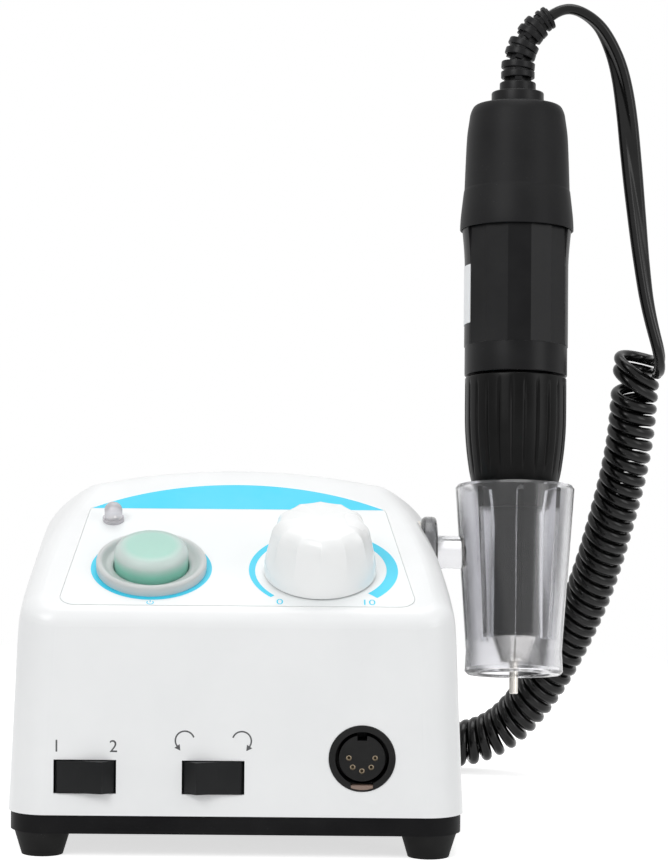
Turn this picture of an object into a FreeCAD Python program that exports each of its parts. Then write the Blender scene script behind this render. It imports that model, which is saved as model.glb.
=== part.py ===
import FreeCAD
import Part
import math
import os

V = FreeCAD.Vector
Rotation = FreeCAD.Rotation
Placement = FreeCAD.Placement

# Nail drill machine: a control box, and a handpiece that stands in a clear holder at its side.
# Millimetres. X right, Y back, Z up. The origin lies on the resting plane, under the box's middle.

# Control box casing
BOX_WIDTH = 120.6
BOX_DEPTH = 130.0
WALL = 2.4
BAND_HEIGHT = 5.0
FRONT_LEAN = 2.0
SIDE_DRAFT = 2.8
PANEL_TILT = 23.5
PANEL_RISE = 53.7
PANEL_LENGTH = 75.7
ROLL_RISE = 47.1
ROLL_RADIUS = 44.0
ROOF_RADIUS = 167.0
ROOF_FALL = 12.0
CORNER_RADIUS = 10.0
TOP_RADIUS = 6.0
POST_RADIUS = 4.2

# Base tray, feet and their screws
TRAY_INSET = 0.6
TRAY_FLOOR = 2.4
LIP_HEIGHT = 3.0
LIP_THICKNESS = 1.6
LIP_GAP = 0.3
FOOT_HEIGHT = 6.6
FOOT_TOP_RADIUS = 7.5
FOOT_BOTTOM_RADIUS = 5.5
FOOT_INSET_X = 9.1
FOOT_INSET_Y = 8.5
SCREW_RADIUS = 1.4
SCREW_HEAD_RADIUS = 2.8
SCREW_HEAD_HEIGHT = 2.0
SCREW_SEAT = 2.6
SCREW_LENGTH = 11.5
SCREW_GAP = 0.15

# Control plate on the sloping panel, in widths and in heights up the slope
PLATE_FRONT_INSET = 12.9
PLATE_REAR_INSET = 20.3
PLATE_FRONT_WIDTH = BOX_WIDTH - 2 * PLATE_FRONT_INSET
PLATE_REAR_WIDTH = BOX_WIDTH - 2 * PLATE_REAR_INSET
PLATE_FRONT = 4.0
PLATE_SIDE_SET_DOWN = 21.0
PLATE_SIDE = PANEL_LENGTH - PLATE_SIDE_SET_DOWN
PLATE_REAR_SET_DOWN = 7.7
PLATE_REAR = PANEL_LENGTH - PLATE_REAR_SET_DOWN
PLATE_CORNER = 4.0
PLATE_THICKNESS = 0.5
PLATE_RECESS = 0.4
PLATE_GAP = 0.15

# Power button
POWER_INSET = 37.3
POWER_X = POWER_INSET - BOX_WIDTH / 2
POWER_V = 22.7
BEZEL_RADIUS = 14.73
BEZEL_HEIGHT = 3.0
BEZEL_FLOOR = 1.3
BEZEL_NECK = 11.9
BEZEL_DEPTH = 7.0
BEZEL_LIP = 1.5
BUTTON_RADIUS = 9.84
BUTTON_HEIGHT = 7.4
BUTTON_SKIRT = 4.5
BUTTON_WALL = 1.2
BUTTON_ROUND = 3.2
BUTTON_GAP = 0.3
BUTTON_TRAVEL = 2.5
LAMP_CAP_RADIUS = 7.6
LAMP_CAP_HEIGHT = 5.0
LAMP_CAP_BASE = 2.2
STEM_RADIUS = 2.5
STEM_LENGTH = 9.0
POWER_BODY_SIDE = 27.0
POWER_BODY_DEPTH = 12.0
BUTTON_SPRING_RADIUS = 4.6
BUTTON_SPRING_WIRE = 0.5
BUTTON_SPRING_TURNS = 3
POWER_BODY_FLOOR = 1.5

# Overload lamp
LED_INSET = 26.5
LED_X = LED_INSET - BOX_WIDTH / 2
LED_SET_DOWN = 27.7
LED_V = PANEL_LENGTH - LED_SET_DOWN
LED_RADIUS = 2.45
LED_HEIGHT = 5.5
LED_DEPTH = 4.0
LED_FLANGE_RADIUS = 2.9
LED_FLANGE_HEIGHT = 1.0
LEG_RADIUS = 0.3
LEG_LENGTH = 9.0

# Speed knob and its control
KNOB_INSET = 38.3
KNOB_X = BOX_WIDTH / 2 - KNOB_INSET
KNOB_V = 21.8
KNOB_RADIUS = 15.07
KNOB_TOP_RADIUS = 12.6
KNOB_SHOULDER = 13.6
KNOB_HEIGHT = 17.0
KNOB_WALL = 2.0
KNOB_HUB_RADIUS = 4.8
KNOB_GAP = 0.3
KNOB_FLUTES = 12
FLUTE_RADIUS = 7.0
FLUTE_DEPTH = 0.75
SHAFT_RADIUS = 3.0
SHAFT_FLAT = 0.7
SHAFT_RISE = 13.0
BUSHING_RADIUS = 4.4
BUSHING_RISE = 4.2
POT_RADIUS = 8.4
POT_DEPTH = 9.5
NUT_ACROSS = 11.0
NUT_HEIGHT = 2.2
KNOB_FOOT_RISE = 2.8
KNOB_SHOULDER_RISE = 1.4
KNOB_FLARE = 0.35
KNOB_CROWN = 0.9
FLUTE_LEAN = 1.7
POT_FLOOR = 1.2
FIT = 0.05

# Rocker switches on the front face
ROCKER_Z = 21.9
HAND_FOOT_INSET = 20.5
HAND_FOOT_X = HAND_FOOT_INSET - BOX_WIDTH / 2
ROCKER_SPACING = 33.8
DIRECTION_X = HAND_FOOT_X + ROCKER_SPACING
APERTURE_WIDTH = 16.5
APERTURE_HEIGHT = 9.0
APERTURE_WALL = 1.2
POCKET_WIDTH = 21.8
POCKET_HEIGHT = 13.0
ROCKER_PIVOT_DEPTH = 5.0
ROCKER_FACE = 6.0
ROCKER_FACE_RISE = 6.9
ROCKER_END = 8.6
ROCKER_END_RISE = 3.0
ROCKER_BOTTOM = 5.0
ROCKER_BOTTOM_DROP = 1.5
ROCKER_HEIGHT = 8.5
ROCKER_TILT = 12.0
ROCKER_PIN_RADIUS = 1.0
ROCKER_PIN_LENGTH = 1.2
SWITCH_SIDE_WALL = 1.0
SWITCH_DEPTH = 14.0
SWITCH_CAVITY = 8.0
BLADE_WIDTH = 3.0
BLADE_THICKNESS = 0.6
BLADE_LENGTH = 6.5
BLADE_SPACING = 6.5

# Motor socket on the front face
SOCKET_INSET = 27.1
SOCKET_X = BOX_WIDTH / 2 - SOCKET_INSET
SOCKET_Z = 27.28
SOCKET_RADIUS = 8.8
SOCKET_BORE = 7.1
SOCKET_PROUD = 0.3
SOCKET_FLANGE = 11.2
SOCKET_FLANGE_THICKNESS = 1.8
SOCKET_DEPTH = 13.0
INSERT_RADIUS = 6.1
INSERT_SET_BACK = 0.5
INSERT_BASE = 4.0
PIN_CIRCLE = 3.45
PIN_HOLE = 0.75
PIN_COUNT = 5
PIN_STEP = 45.0
TERMINAL_LENGTH = 4.0
KEY_WIDTH = 2.6
KEY_DEPTH = 1.4
LATCH_WIDTH = 5.85
LATCH_HEIGHT = 1.2
LATCH_LENGTH = 4.0
SOCKET_EDGE = 0.25
CONTACT_SET_BACK = 1.2
CONTACT_WALL = 0.3
CONTACT_BORE_DEPTH = 2.0

# Mains inlet, fuse holder and pedal jack on the rear face
REAR_Z = 32.0
INLET_INSET = 30.3
INLET_X = INLET_INSET - BOX_WIDTH / 2
INLET_WIDTH = 24.4
INLET_HEIGHT = 16.6
INLET_WALL = 1.6
INLET_DEPTH = 20.0
INLET_CAVITY = 17.5
INLET_FLANGE_WIDTH = 47.0
INLET_FLANGE_HEIGHT = 22.6
INLET_FLANGE_THICKNESS = 2.6
INLET_SCREW_SPACING = 40.0
INLET_PIN_LENGTH = 11.5
INLET_PIN_WIDTH = 4.0
INLET_PIN_THICKNESS = 2.0
INLET_PIN_SPACING = 7.0
INLET_PIN_OFFSET = 2.2
INLET_SCREW_LENGTH = 8.0
INLET_FLANGE_CORNER = 4.0
SLOT_WIDTH = 0.7
SLOT_LENGTH = 3.4
INLET_TO_FUSE = 38.0
FUSE_X = INLET_X + INLET_TO_FUSE
FUSE_RADIUS = 6.0
FUSE_CAP_RADIUS = 7.4
FUSE_CAP_HEIGHT = 5.0
FUSE_LENGTH = 30.0
FUSE_NUT_RADIUS = 8.6
FUSE_NUT_HEIGHT = 3.0
FUSE_FLANGE = 1.2
FUSE_SLOT_WIDTH = 1.2
FUSE_SLOT_DEPTH = 1.0
EDGE_ROUND = 0.6
JACK_INSET = 22.3
JACK_X = BOX_WIDTH / 2 - JACK_INSET
JACK_BORE = 3.2
JACK_COLLAR = 5.4
JACK_NUT_RADIUS = 7.0
JACK_NUT_HEIGHT = 2.4
JACK_BODY = 14.0
JACK_DEPTH = 19.0
JACK_FLOOR = 2.0
JACK_PROUD = 0.8

# Main board and what it carries
BOARD_DEPTH = 74.0
BOARD_THICKNESS = 1.6
BOARD_Y = -1.0
BOARD_POST_HEIGHT = 6.0
BOARD_POST_RADIUS = 3.0
BOARD_MARGIN = 4.0
BOARD_SCREW_RADIUS = 1.1
BOARD_SCREW_HEAD = 2.2
BOARD_SCREW_HEAD_HEIGHT = 1.6
BOARD_SCREW_LENGTH = 6.0
CAPACITOR_RADIUS = 6.3
CAPACITOR_HEIGHT = 22.0
CAPACITOR_SPACING = 15.0
SINK_WIDTH = 24.0
SINK_DEPTH = 12.0
SINK_HEIGHT = 26.0
SINK_BASE = 3.0
SINK_FINS = 5
SINK_FIN = 1.2
POWER_CHIP_WIDTH = 10.2
POWER_CHIP_HEIGHT = 15.0
POWER_CHIP_THICKNESS = 4.5
TERMINAL_WIDTH = 20.0
TERMINAL_DEPTH = 7.5
TERMINAL_HEIGHT = 9.0

# Transformer
CORE_WIDTH = 44.0
CORE_DEPTH = 34.0
CORE_HEIGHT = 37.0
CORE_Y = -2.0
CORE_LIMB = 7.5
CORE_STACK = 20.0
WINDING_GAP = 0.3
BRACKET_FOOT = 8.4
BRACKET_THICKNESS = 1.2
CORE_SCREW_RADIUS = 1.5
CORE_SCREW_HEAD = 3.0
WINDING_CORNER = 3.0
STRAP_INSET = 2.0
STRAP_SIDE_GAP = 0.6
STRAP_SCREW_GAP = 0.3
BOARD_SIDE_GAP = 8.0
TRAY_INNER = BOX_WIDTH / 2 - WALL - LIP_GAP - LIP_THICKNESS
CORE_X = CORE_WIDTH / 2 + BRACKET_FOOT + STRAP_SIDE_GAP - TRAY_INNER
BOARD_LEFT = CORE_X + CORE_WIDTH / 2 + BRACKET_FOOT + STRAP_SIDE_GAP
BOARD_RIGHT = TRAY_INNER - BOARD_SIDE_GAP
BOARD_WIDTH = BOARD_RIGHT - BOARD_LEFT
BOARD_X = (BOARD_LEFT + BOARD_RIGHT) / 2

# Holder: a clear cup that turns on a peg through the side wall
CUP_STAND_OFF = 15.95
PIVOT_X = BOX_WIDTH / 2 + CUP_STAND_OFF
PIVOT_Z = 73.9
HOLDER_LEAN = 13.0
HOLDER_CANT = 0.35
CUP_BOTTOM = -33.4
CUP_WAIST = -26.9
CUP_RIM = 18.7
CUP_BOTTOM_RADIUS = 13.5
CUP_WAIST_RADIUS = 13.2
CUP_RIM_RADIUS = 16.4
CUP_WALL = 1.7
CUP_HOLE_RADIUS = 10.0
CUP_EDGE = 0.8
FIN_COUNT = 8
FIN_THICKNESS = 1.6
FIN_RADIUS = 9.6
FIN_SHOULDER = 7.6
FIN_TURN = 3.0
FIN_BOTTOM = -23.9
FIN_RISE = 1.0
DISC_RADIUS = 9.8
DISC_SET_IN = 5.5
DISC_THICKNESS = 4.4
DISC_OUTER_X = BOX_WIDTH / 2 - DISC_SET_IN
DISC_INNER_X = DISC_OUTER_X - DISC_THICKNESS
DISC_ROUND = 1.5
DISC_GAP = 0.25
PEG_RADIUS = 4.6
POCKET_BOSS = 2.6
BUSH_RADIUS = 7.0
BUSH_FLANGE_RADIUS = 8.6
BUSH_FLANGE = 1.0
BUSH_LENGTH = 10.0
BUSH_NUT_ACROSS = 16.0
BUSH_NUT_HEIGHT = 3.5
CLIP_RADIUS = 6.4
CLIP_THICKNESS = 0.8
CLIP_GROOVE_RADIUS = 3.8
CLIP_MOUTH = 6.4
CLIP_GAP = 0.25
PEG_END = 1.6

# Handpiece, in heights along its axis from the holder's pivot
SLEEVE_BOTTOM = 12.2
SLEEVE_LOW = 16.6
SLEEVE_MID = 19.9
SLEEVE_HIGH = 30.6
SLEEVE_FULL = 36.0
SLEEVE_TOP = 48.7
SLEEVE_BOTTOM_RADIUS = 9.6
SLEEVE_LOW_RADIUS = 10.7
SLEEVE_MID_RADIUS = 12.2
SLEEVE_HIGH_RADIUS = 13.8
SLEEVE_RADIUS = 14.04
SLEEVE_RIBS = 24
SLEEVE_RIB_BOTTOM = 21.8
SLEEVE_RIB_TOP = 47.0
SLEEVE_RIB_DEPTH = 0.3
SLEEVE_RIB_RADIUS = 1.2
SLEEVE_GAP = 0.5
SLEEVE_EDGE = 0.5
SEAT_GAP = 0.3
HOUSING_RADIUS = 14.2
BAND_TOP = 57.3
FACET_COUNT = 14
FACET_ACROSS = 28.0
FACET_TOP = 92.6
HOUSING_TOP = 108.6
HOUSING_SPIGOT_RADIUS = 12.0
HOUSING_BORE = 11.0
MOTOR_FLOOR = 55.6
SPIGOT_RADIUS = 10.5
SPIGOT_BOTTOM = 24.4
NOSE_BOTTOM = -22.8
NOSE_TOP = 45.0
NOSE_RADIUS = 6.9
NOSE_BORE = 5.5
NOSE_FLANGE_RADIUS = 9.8
NOSE_FLANGE_THICKNESS = 1.8
NOSE_ROUND = 1.0
LABEL_BOTTOM = 63.3
LABEL_TOP = 79.6
LABEL_START = 150.0
LABEL_END = 205.0
LABEL_THICKNESS = 0.15
CAP_BOTTOM = 90.0
CAP_WAIST = 101.5
CAP_SHOULDER = 117.4
CAP_BEND = 123.2
CAP_TOP = 125.3
CAP_BOTTOM_RADIUS = 15.75
CAP_WAIST_RADIUS = 14.7
CAP_SHOULDER_RADIUS = 13.95
CAP_BEND_RADIUS = 13.0
CAP_TOP_RADIUS = 11.6
CAP_ROOF = 4.0
CAP_WALL = 2.4
CAP_EDGE = 0.6
COLLAR_TOP = 129.1
COLLAR_RADIUS = 7.3
RELIEF_NECK_TOP = 131.7
RELIEF_NECK_RADIUS = 5.05

# Inside the handpiece
SHAFT_STEEL_RADIUS = 3.0
COLLET_TIP = -30.0
COLLET_TIP_RADIUS = 3.6
COLLET_RADIUS = 6.0
BEARING_WIDTH = 5.0
FRONT_BEARING = -19.8
MID_BEARING = 22.4
COUPLING = 47.0
ROTOR_SHAFT_RADIUS = 2.0
ROTOR_RADIUS = 7.4
ROTOR_BOTTOM = 59.6
ROTOR_TOP = 85.6
COMMUTATOR_RADIUS = 3.6
COMMUTATOR_TOP = 94.6
MAGNET_RADIUS = 8.0
MAGNET_BOTTOM = 57.6
MAGNET_TOP = 87.6
BELL_THICKNESS = 7.0
BELL_BEARING_RADIUS = 4.5
BELL_BEARING_WIDTH = 4.0
BRUSH_WIDTH = 4.0
BRUSH_HEIGHT = 4.0
ROTOR_END = 1.5
BUR_RADIUS = 1.175
BUR_TIP = -38.7
BUR_GRIP = 24.0
BUR_GAP = 0.03
BUR_ROUND = 0.35
COLLET_SLOT = 0.4
COLLET_SLOT_DEPTH = 6.0
PRESS = 0.01
BRUSH_POST = 2.0
BRUSH_SET_IN = 2.5

# Strain relief: a short straight, then a bend to the right
RELIEF_BEND_START = 135.2
RELIEF_BEND_RADIUS = 18.3
RELIEF_BEND_TURN = 59.5
RELIEF_RINGS = 4
RELIEF_FIRST_RING = 4.75
RELIEF_LAST_RING = 3.4
RELIEF_RING_LENGTH = 3.8
RELIEF_FIRST_CORE = 3.4
RELIEF_LAST_CORE = 3.0
RELIEF_LAST_SETBACK = 2.2
RELIEF_ROOT = 2.0

# Motor cord: a flat twin lead, a curly length of two strands, and a flat tail with its plug
STRAND_RADIUS = 1.5
TWIN_WIDTH = 5.9
TWIN_THICKNESS = 2.95
CURL_RADIUS = 5.2
CURL_PITCH = 6.8
CURL_HALF_TURNS = 2
FIRST_TURN_LIFT = 3.5
CORD_JOIN = 0.2
LEAD_END_RUN = 8.2
TAIL_START_RUN = 7.6
TAIL_END_RUN = 6.0
LEAD_ROUTE = [
    (88.8, 34.4, 222.9), (93.5, 34.2, 223.1), (99.2, 33.9, 219.5), (102.7, 33.5, 214.0),
    (105.7, 33.0, 206.2), (107.7, 32.6, 195.2), (109.1, 32.0, 182.0), (110.7, 31.4, 167.3),
    (112.5, 30.9, 152.0), (114.5, 30.4, 138.9)]
COIL_ROUTE = [
    (112.7, 40.0, 125.1), (111.9, 41.0, 114.1), (111.2, 42.6, 101.8), (109.1, 45.2, 88.9),
    (106.5, 48.4, 77.2), (104.2, 52.0, 67.2), (101.4, 56.0, 56.8), (97.9, 60.2, 47.0),
    (94.0, 64.4, 37.6), (89.5, 68.4, 28.4), (84.1, 71.8, 19.8), (77.4, 74.6, 12.4),
    (69.2, 76.4, 8.4), (59.5, 77.2, 7.4), (48.0, 77.5, 7.4), (36.0, 77.6, 7.4),
    (24.0, 77.5, 7.4)]
COIL_END_BACK = 17.0
COIL_STEPS = 24
TAIL_ROUTE = [
    (21.5, 91.5, 2.0), (11.5, 93.0, 2.1), (3.0, 92.0, 4.6)]
PLUG_X = -10.0
PLUG_Y = 91.4
PLUG_GRIP_RADIUS = 7.0
PLUG_GRIP_LENGTH = 27.0
PLUG_GRIP_RIBS = 5
PLUG_RIB_WIDTH = 1.4
PLUG_RIB_DEPTH = 0.5
PLUG_NECK_RADIUS = 4.2
PLUG_NECK_END_RADIUS = 3.4
PLUG_NECK_LENGTH = 8.0
PLUG_FLOOR_GAP = 0.05
PLUG_SKIRT_RADIUS = 6.6
PLUG_SKIRT_WALL = 0.4
PLUG_SKIRT_LENGTH = 9.0
PLUG_PIN_RADIUS = 0.7
PLUG_PIN_LENGTH = 8.0
PLUG_SHOULDER = 1.2
PLUG_SHOULDER_RISE = 3.0
PLUG_RIB_START = 6.0

Z_SEAM = FOOT_HEIGHT + BAND_HEIGHT
Z_TRAY = FOOT_HEIGHT + TRAY_FLOOR
FRONT_Y = -BOX_DEPTH / 2
PANEL_Z = Z_SEAM + PANEL_RISE
PANEL_Y = FRONT_Y + PANEL_RISE * math.tan(math.radians(FRONT_LEAN))
ROLL_Z = Z_SEAM + ROLL_RISE
PLATE_TOP = PLATE_THICKNESS - PLATE_RECESS

FRONT = Placement(V(0, FRONT_Y, Z_SEAM), Rotation(V(1, 0, 0), 90 - FRONT_LEAN))
PANEL = Placement(V(0, PANEL_Y, PANEL_Z), Rotation(V(1, 0, 0), PANEL_TILT))
REAR = Placement(V(0, -FRONT_Y, Z_SEAM),
                 Rotation(V(0, 0, 1), 180).multiply(Rotation(V(1, 0, 0), 90 - FRONT_LEAN)))
HOLDER = Placement(V(PIVOT_X, 0, PIVOT_Z),
                   Rotation(V(0, 1, 0), HOLDER_CANT).multiply(Rotation(V(1, 0, 0), -HOLDER_LEAN)))


def save(name, *solids):
    shape = solids[0] if len(solids) == 1 else Part.makeCompound(list(solids))
    for solid in shape.Solids:
        if not solid.isValid() or solid.Volume <= 0:
            print("not a sound solid:", name)
    shape.exportStep("parts/%s.step" % name)


def put(shape, frame, x=0.0, y=0.0, z=0.0):
    out = shape.copy()
    out.Placement = frame.multiply(Placement(V(x, y, z), Rotation())).multiply(out.Placement)
    return out


def rod(radius, low, high, x=0.0, y=0.0):
    return Part.makeCylinder(radius, high - low, V(x, y, low))


def rod_x(radius, low, high):
    return Part.makeCylinder(radius, high - low, V(low, 0, 0), V(1, 0, 0))


def block(width, depth, low, high, x=0.0, y=0.0):
    return Part.makeBox(width, depth, high - low, V(x - width / 2, y - depth / 2, low))


def prism(points, direction):
    return Part.Face(Part.makePolygon(points + [points[0]])).extrude(direction)


def turned(profile):
    points = [V(radius, 0, z) for radius, z in profile]
    return Part.Face(Part.makePolygon(points + [points[0]])).revolve(V(0, 0, 0), V(0, 0, 1), 360)


def ring(outer, inner, low, high):
    return rod(outer, low, high).cut(rod(inner, low - 1, high + 1))


def hexagon(across, low, high):
    reach = across / math.sqrt(3)
    corners = [V(reach * math.cos(math.radians(60 * i)), reach * math.sin(math.radians(60 * i)), low)
               for i in range(6)]
    return prism(corners, V(0, 0, high - low))


def rims_at(solid, height):
    return [e for e in solid.Edges if e.Closed and abs(e.CenterOfMass.z - height) < 0.01]


def rounded_block(width, depth, low, high, radius):
    solid = block(width, depth, low, high)
    upright = [e for e in solid.Edges if abs(e.tangentAt(e.FirstParameter).z) > 0.9]
    return solid.makeFillet(radius, upright)


def meet(p, p_angle, q, q_angle):
    px, py = math.cos(math.radians(p_angle)), math.sin(math.radians(p_angle))
    qx, qy = math.cos(math.radians(q_angle)), math.sin(math.radians(q_angle))
    along = ((q[0] - p[0]) * qy - (q[1] - p[1]) * qx) / (px * qy - py * qx)
    return p[0] + along * px, p[1] + along * py


# Casing form: the side arch, the front and panel profile and the arched roof, all set in by a wall
def side_arch(inset, low):
    draft = math.radians(SIDE_DRAFT)
    side = BOX_WIDTH / 2 - ROLL_RISE * math.tan(draft)
    centre_x = side - ROLL_RADIUS * math.cos(draft)
    centre_z = ROLL_Z - ROLL_RADIUS * math.sin(draft)
    radius = ROLL_RADIUS - inset
    diagonal = radius * math.sqrt(0.5)
    start = V(centre_x + radius * math.cos(draft), 0, centre_z + radius * math.sin(draft))
    foot = V(start.x + (start.z - low) * math.tan(draft), 0, low)
    middle = V(centre_x + diagonal, 0, centre_z + diagonal)
    top = V(centre_x, 0, centre_z + radius)

    def left(point):
        return V(-point.x, 0, point.z)
    edges = [Part.LineSegment(left(foot), foot).toShape(), Part.LineSegment(foot, start).toShape(),
             Part.Arc(start, middle, top).toShape(), Part.LineSegment(top, left(top)).toShape(),
             Part.Arc(left(top), left(middle), left(start)).toShape(),
             Part.LineSegment(left(start), left(foot)).toShape()]
    face = Part.Face(Part.Wire(edges))
    face.translate(V(0, -BOX_DEPTH, 0))
    return face.extrude(V(0, 2 * BOX_DEPTH, 0))


def side_profile(inset, low):
    lean = math.radians(FRONT_LEAN)
    tilt = math.radians(PANEL_TILT)
    front = (FRONT_Y + inset / math.cos(lean), Z_SEAM)
    rear = (-front[0], Z_SEAM)
    panel = (PANEL_Y + inset * math.sin(tilt), PANEL_Z - inset * math.cos(tilt))
    beyond = (PANEL_Y + PANEL_LENGTH * math.cos(tilt) + ROLL_RADIUS, 0)
    base = (0, low)
    front_low = meet(front, 90 - FRONT_LEAN, base, 0)
    front_top = meet(front, 90 - FRONT_LEAN, panel, PANEL_TILT)
    panel_top = meet(panel, PANEL_TILT, beyond, 90)
    rear_top = meet(rear, 90 + FRONT_LEAN, panel_top, 0)
    rear_low = meet(rear, 90 + FRONT_LEAN, base, 0)
    corners = [front_low, front_top, panel_top, rear_top, rear_low]
    return prism([V(-BOX_WIDTH, y, z) for y, z in corners], V(2 * BOX_WIDTH, 0, 0))


def roof_arch(inset, low):
    fall = math.radians(ROOF_FALL)
    tilt = math.radians(PANEL_TILT)
    radius = ROOF_RADIUS - inset
    ridge_y = PANEL_Y + PANEL_LENGTH * math.cos(tilt)
    crown = PANEL_Z + PANEL_LENGTH * math.sin(tilt) - inset / math.cos(fall)
    half = BOX_WIDTH * 0.66
    edge = crown - radius + math.sqrt(radius * radius - half * half)
    base = low - BOX_DEPTH
    edges = [Part.LineSegment(V(-half, 0, base), V(half, 0, base)).toShape(),
             Part.LineSegment(V(half, 0, base), V(half, 0, edge)).toShape(),
             Part.Arc(V(half, 0, edge), V(0, 0, crown), V(-half, 0, edge)).toShape(),
             Part.LineSegment(V(-half, 0, edge), V(-half, 0, base)).toShape()]
    face = Part.Face(Part.Wire(edges))
    face.translate(V(0, ridge_y - BOX_DEPTH, BOX_DEPTH * math.tan(fall)))
    return face.extrude(V(0, 2 * BOX_DEPTH, -2 * BOX_DEPTH * math.tan(fall)))


def sharp_edges(solid, low):
    found = []
    for edge in solid.Edges:
        if edge.CenterOfMass.z < low + 2:
            continue
        faces = [f for f in solid.Faces if any(edge.isSame(other) for other in f.Edges)]
        if len(faces) != 2:
            continue
        point = edge.valueAt((edge.FirstParameter + edge.LastParameter) / 2)
        normals = [f.normalAt(*f.Surface.parameter(point)) for f in faces]
        if math.degrees(normals[0].getAngle(normals[1])) > 5:
            found.append(edge)
    return found


def is_corner(edge):
    heights = [v.Point.z for v in edge.Vertexes]
    depths = [v.Point.y for v in edge.Vertexes]
    upright = max(heights) - min(heights) > 2 * (max(depths) - min(depths))
    middle = edge.CenterOfMass
    return upright and abs(middle.x) > 0.37 * BOX_WIDTH and abs(middle.y) > 0.44 * BOX_DEPTH


def casing_form(inset, low):
    solid = side_arch(inset, low).common(side_profile(inset, low)).common(roof_arch(inset, low))
    solid = solid.makeFillet(CORNER_RADIUS - inset, [e for e in solid.Edges if is_corner(e)])
    return solid.makeFillet(TOP_RADIUS - inset, sharp_edges(solid, low))


# Places on the faces
def front_height(z):
    return (z - Z_SEAM) / math.cos(math.radians(FRONT_LEAN))


def foot_places():
    x = BOX_WIDTH / 2 - FOOT_INSET_X
    y = BOX_DEPTH / 2 - FOOT_INSET_Y
    return [(sx * x, sy * y) for sx in (-1, 1) for sy in (-1, 1)]


def plate_outline(grow, low, high):
    front = PLATE_FRONT_WIDTH / 2
    rear = PLATE_REAR_WIDTH / 2
    corners = [V(-front, PLATE_FRONT, low), V(front, PLATE_FRONT, low), V(rear, PLATE_SIDE, low)]
    edges = [Part.LineSegment(corners[0], corners[1]).toShape(),
             Part.LineSegment(corners[1], corners[2]).toShape(),
             Part.Arc(corners[2], V(0, PLATE_REAR, low), V(-rear, PLATE_SIDE, low)).toShape(),
             Part.LineSegment(V(-rear, PLATE_SIDE, low), corners[0]).toShape()]
    solid = Part.Face(Part.Wire(edges)).extrude(V(0, 0, high - low))
    upright = [e for e in solid.Edges if abs(e.tangentAt(e.FirstParameter).z) > 0.9]
    solid = solid.makeFillet(PLATE_CORNER, upright)
    if grow == 0:
        return solid
    base = [f for f in solid.Faces if abs(f.CenterOfMass.z - low) < 1e-6][0]
    return base.makeOffset2D(grow).extrude(V(0, 0, high - low))


def panel_holes(low, high):
    return [rod(BEZEL_NECK + FIT, low, high, POWER_X, POWER_V),
            rod(BUSHING_RADIUS + FIT, low, high, KNOB_X, KNOB_V),
            rod(LED_RADIUS + FIT, low, high, LED_X, LED_V)]


def peg_x(distance):
    return (distance - PIVOT_X) / math.cos(math.radians(HOLDER_CANT))


# Control box: casing and base
def make_upper_shell():
    outer = casing_form(0, Z_SEAM)
    shell = outer.cut(casing_form(WALL, Z_SEAM - WALL))
    middle = casing_form(WALL / 2, Z_SEAM - WALL)
    for x, y in foot_places():
        post = rod(POST_RADIUS, Z_TRAY, PANEL_Z + PANEL_LENGTH, x, y)
        column = post.common(middle).fuse(rod(POST_RADIUS, Z_TRAY, Z_SEAM + 0.5, x, y))
        shell = shell.fuse(column)
    pocket_floor = peg_x(DISC_INNER_X) - DISC_GAP
    boss_end = pocket_floor - POCKET_BOSS
    boss = rod_x(DISC_RADIUS + DISC_GAP + WALL, boss_end, 0)
    shell = shell.fuse(put(boss, HOLDER).common(outer))
    for x, y in foot_places():
        shell = shell.cut(rod(SCREW_RADIUS + FIT, Z_TRAY - 1, SCREW_SEAT + SCREW_LENGTH + 1, x, y))
    nut_reach = BUSH_NUT_ACROSS / math.sqrt(3) + SCREW_GAP
    cuts = [put(rod_x(DISC_RADIUS + DISC_GAP, pocket_floor, 0), HOLDER),
            put(rod_x(BUSH_RADIUS + FIT, boss_end - BUSH_LENGTH, 0), HOLDER),
            put(rod_x(BUSH_FLANGE_RADIUS + FIT, pocket_floor - BUSH_FLANGE, 0), HOLDER),
            put(rod_x(nut_reach, boss_end - BUSH_LENGTH, boss_end), HOLDER),
            put(plate_outline(PLATE_GAP, -PLATE_RECESS, 3), PANEL)]
    cuts += [put(hole, PANEL) for hole in panel_holes(-3 * WALL, 3)]
    for x in (HAND_FOOT_X, DIRECTION_X):
        height = front_height(ROCKER_Z)
        cuts.append(put(block(APERTURE_WIDTH, APERTURE_HEIGHT, -3 * WALL, 3), FRONT, x, height))
        pocket_end = -APERTURE_WALL - SWITCH_DEPTH - BUTTON_GAP
        cuts.append(put(block(POCKET_WIDTH, POCKET_HEIGHT, pocket_end, -APERTURE_WALL), FRONT, x, height))
    cuts.append(put(rod(SOCKET_RADIUS + FIT, -3 * WALL, 3), FRONT, SOCKET_X, front_height(SOCKET_Z)))
    rear_v = front_height(REAR_Z)
    inlet_width = INLET_WIDTH + 2 * INLET_WALL + 2 * FIT
    inlet_height = INLET_HEIGHT + 2 * INLET_WALL + 2 * FIT
    cuts.append(put(block(inlet_width, inlet_height, -3 * WALL, 3), REAR, -INLET_X, rear_v))
    cuts.append(put(rod(FUSE_RADIUS + FIT, -3 * WALL, 3), REAR, -FUSE_X, rear_v))
    cuts.append(put(rod(JACK_COLLAR + FIT, -3 * WALL, 3), REAR, -JACK_X, rear_v))
    for side in (-1, 1):
        hole = rod(SCREW_RADIUS + FIT, -3 * WALL, 3, side * INLET_SCREW_SPACING / 2)
        cuts.append(put(hole, REAR, -INLET_X, rear_v))
    for cut in cuts:
        shell = shell.cut(cut)
    save("upper_shell", shell)


def board_corners():
    x = BOARD_WIDTH / 2 - BOARD_MARGIN
    y = BOARD_DEPTH / 2 - BOARD_MARGIN
    return [(BOARD_X + sx * x, BOARD_Y + sy * y) for sx in (-1, 1) for sy in (-1, 1)]


def bracket_places(reach):
    return [(CORE_X - reach, CORE_Y), (CORE_X + reach, CORE_Y)]


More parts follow.
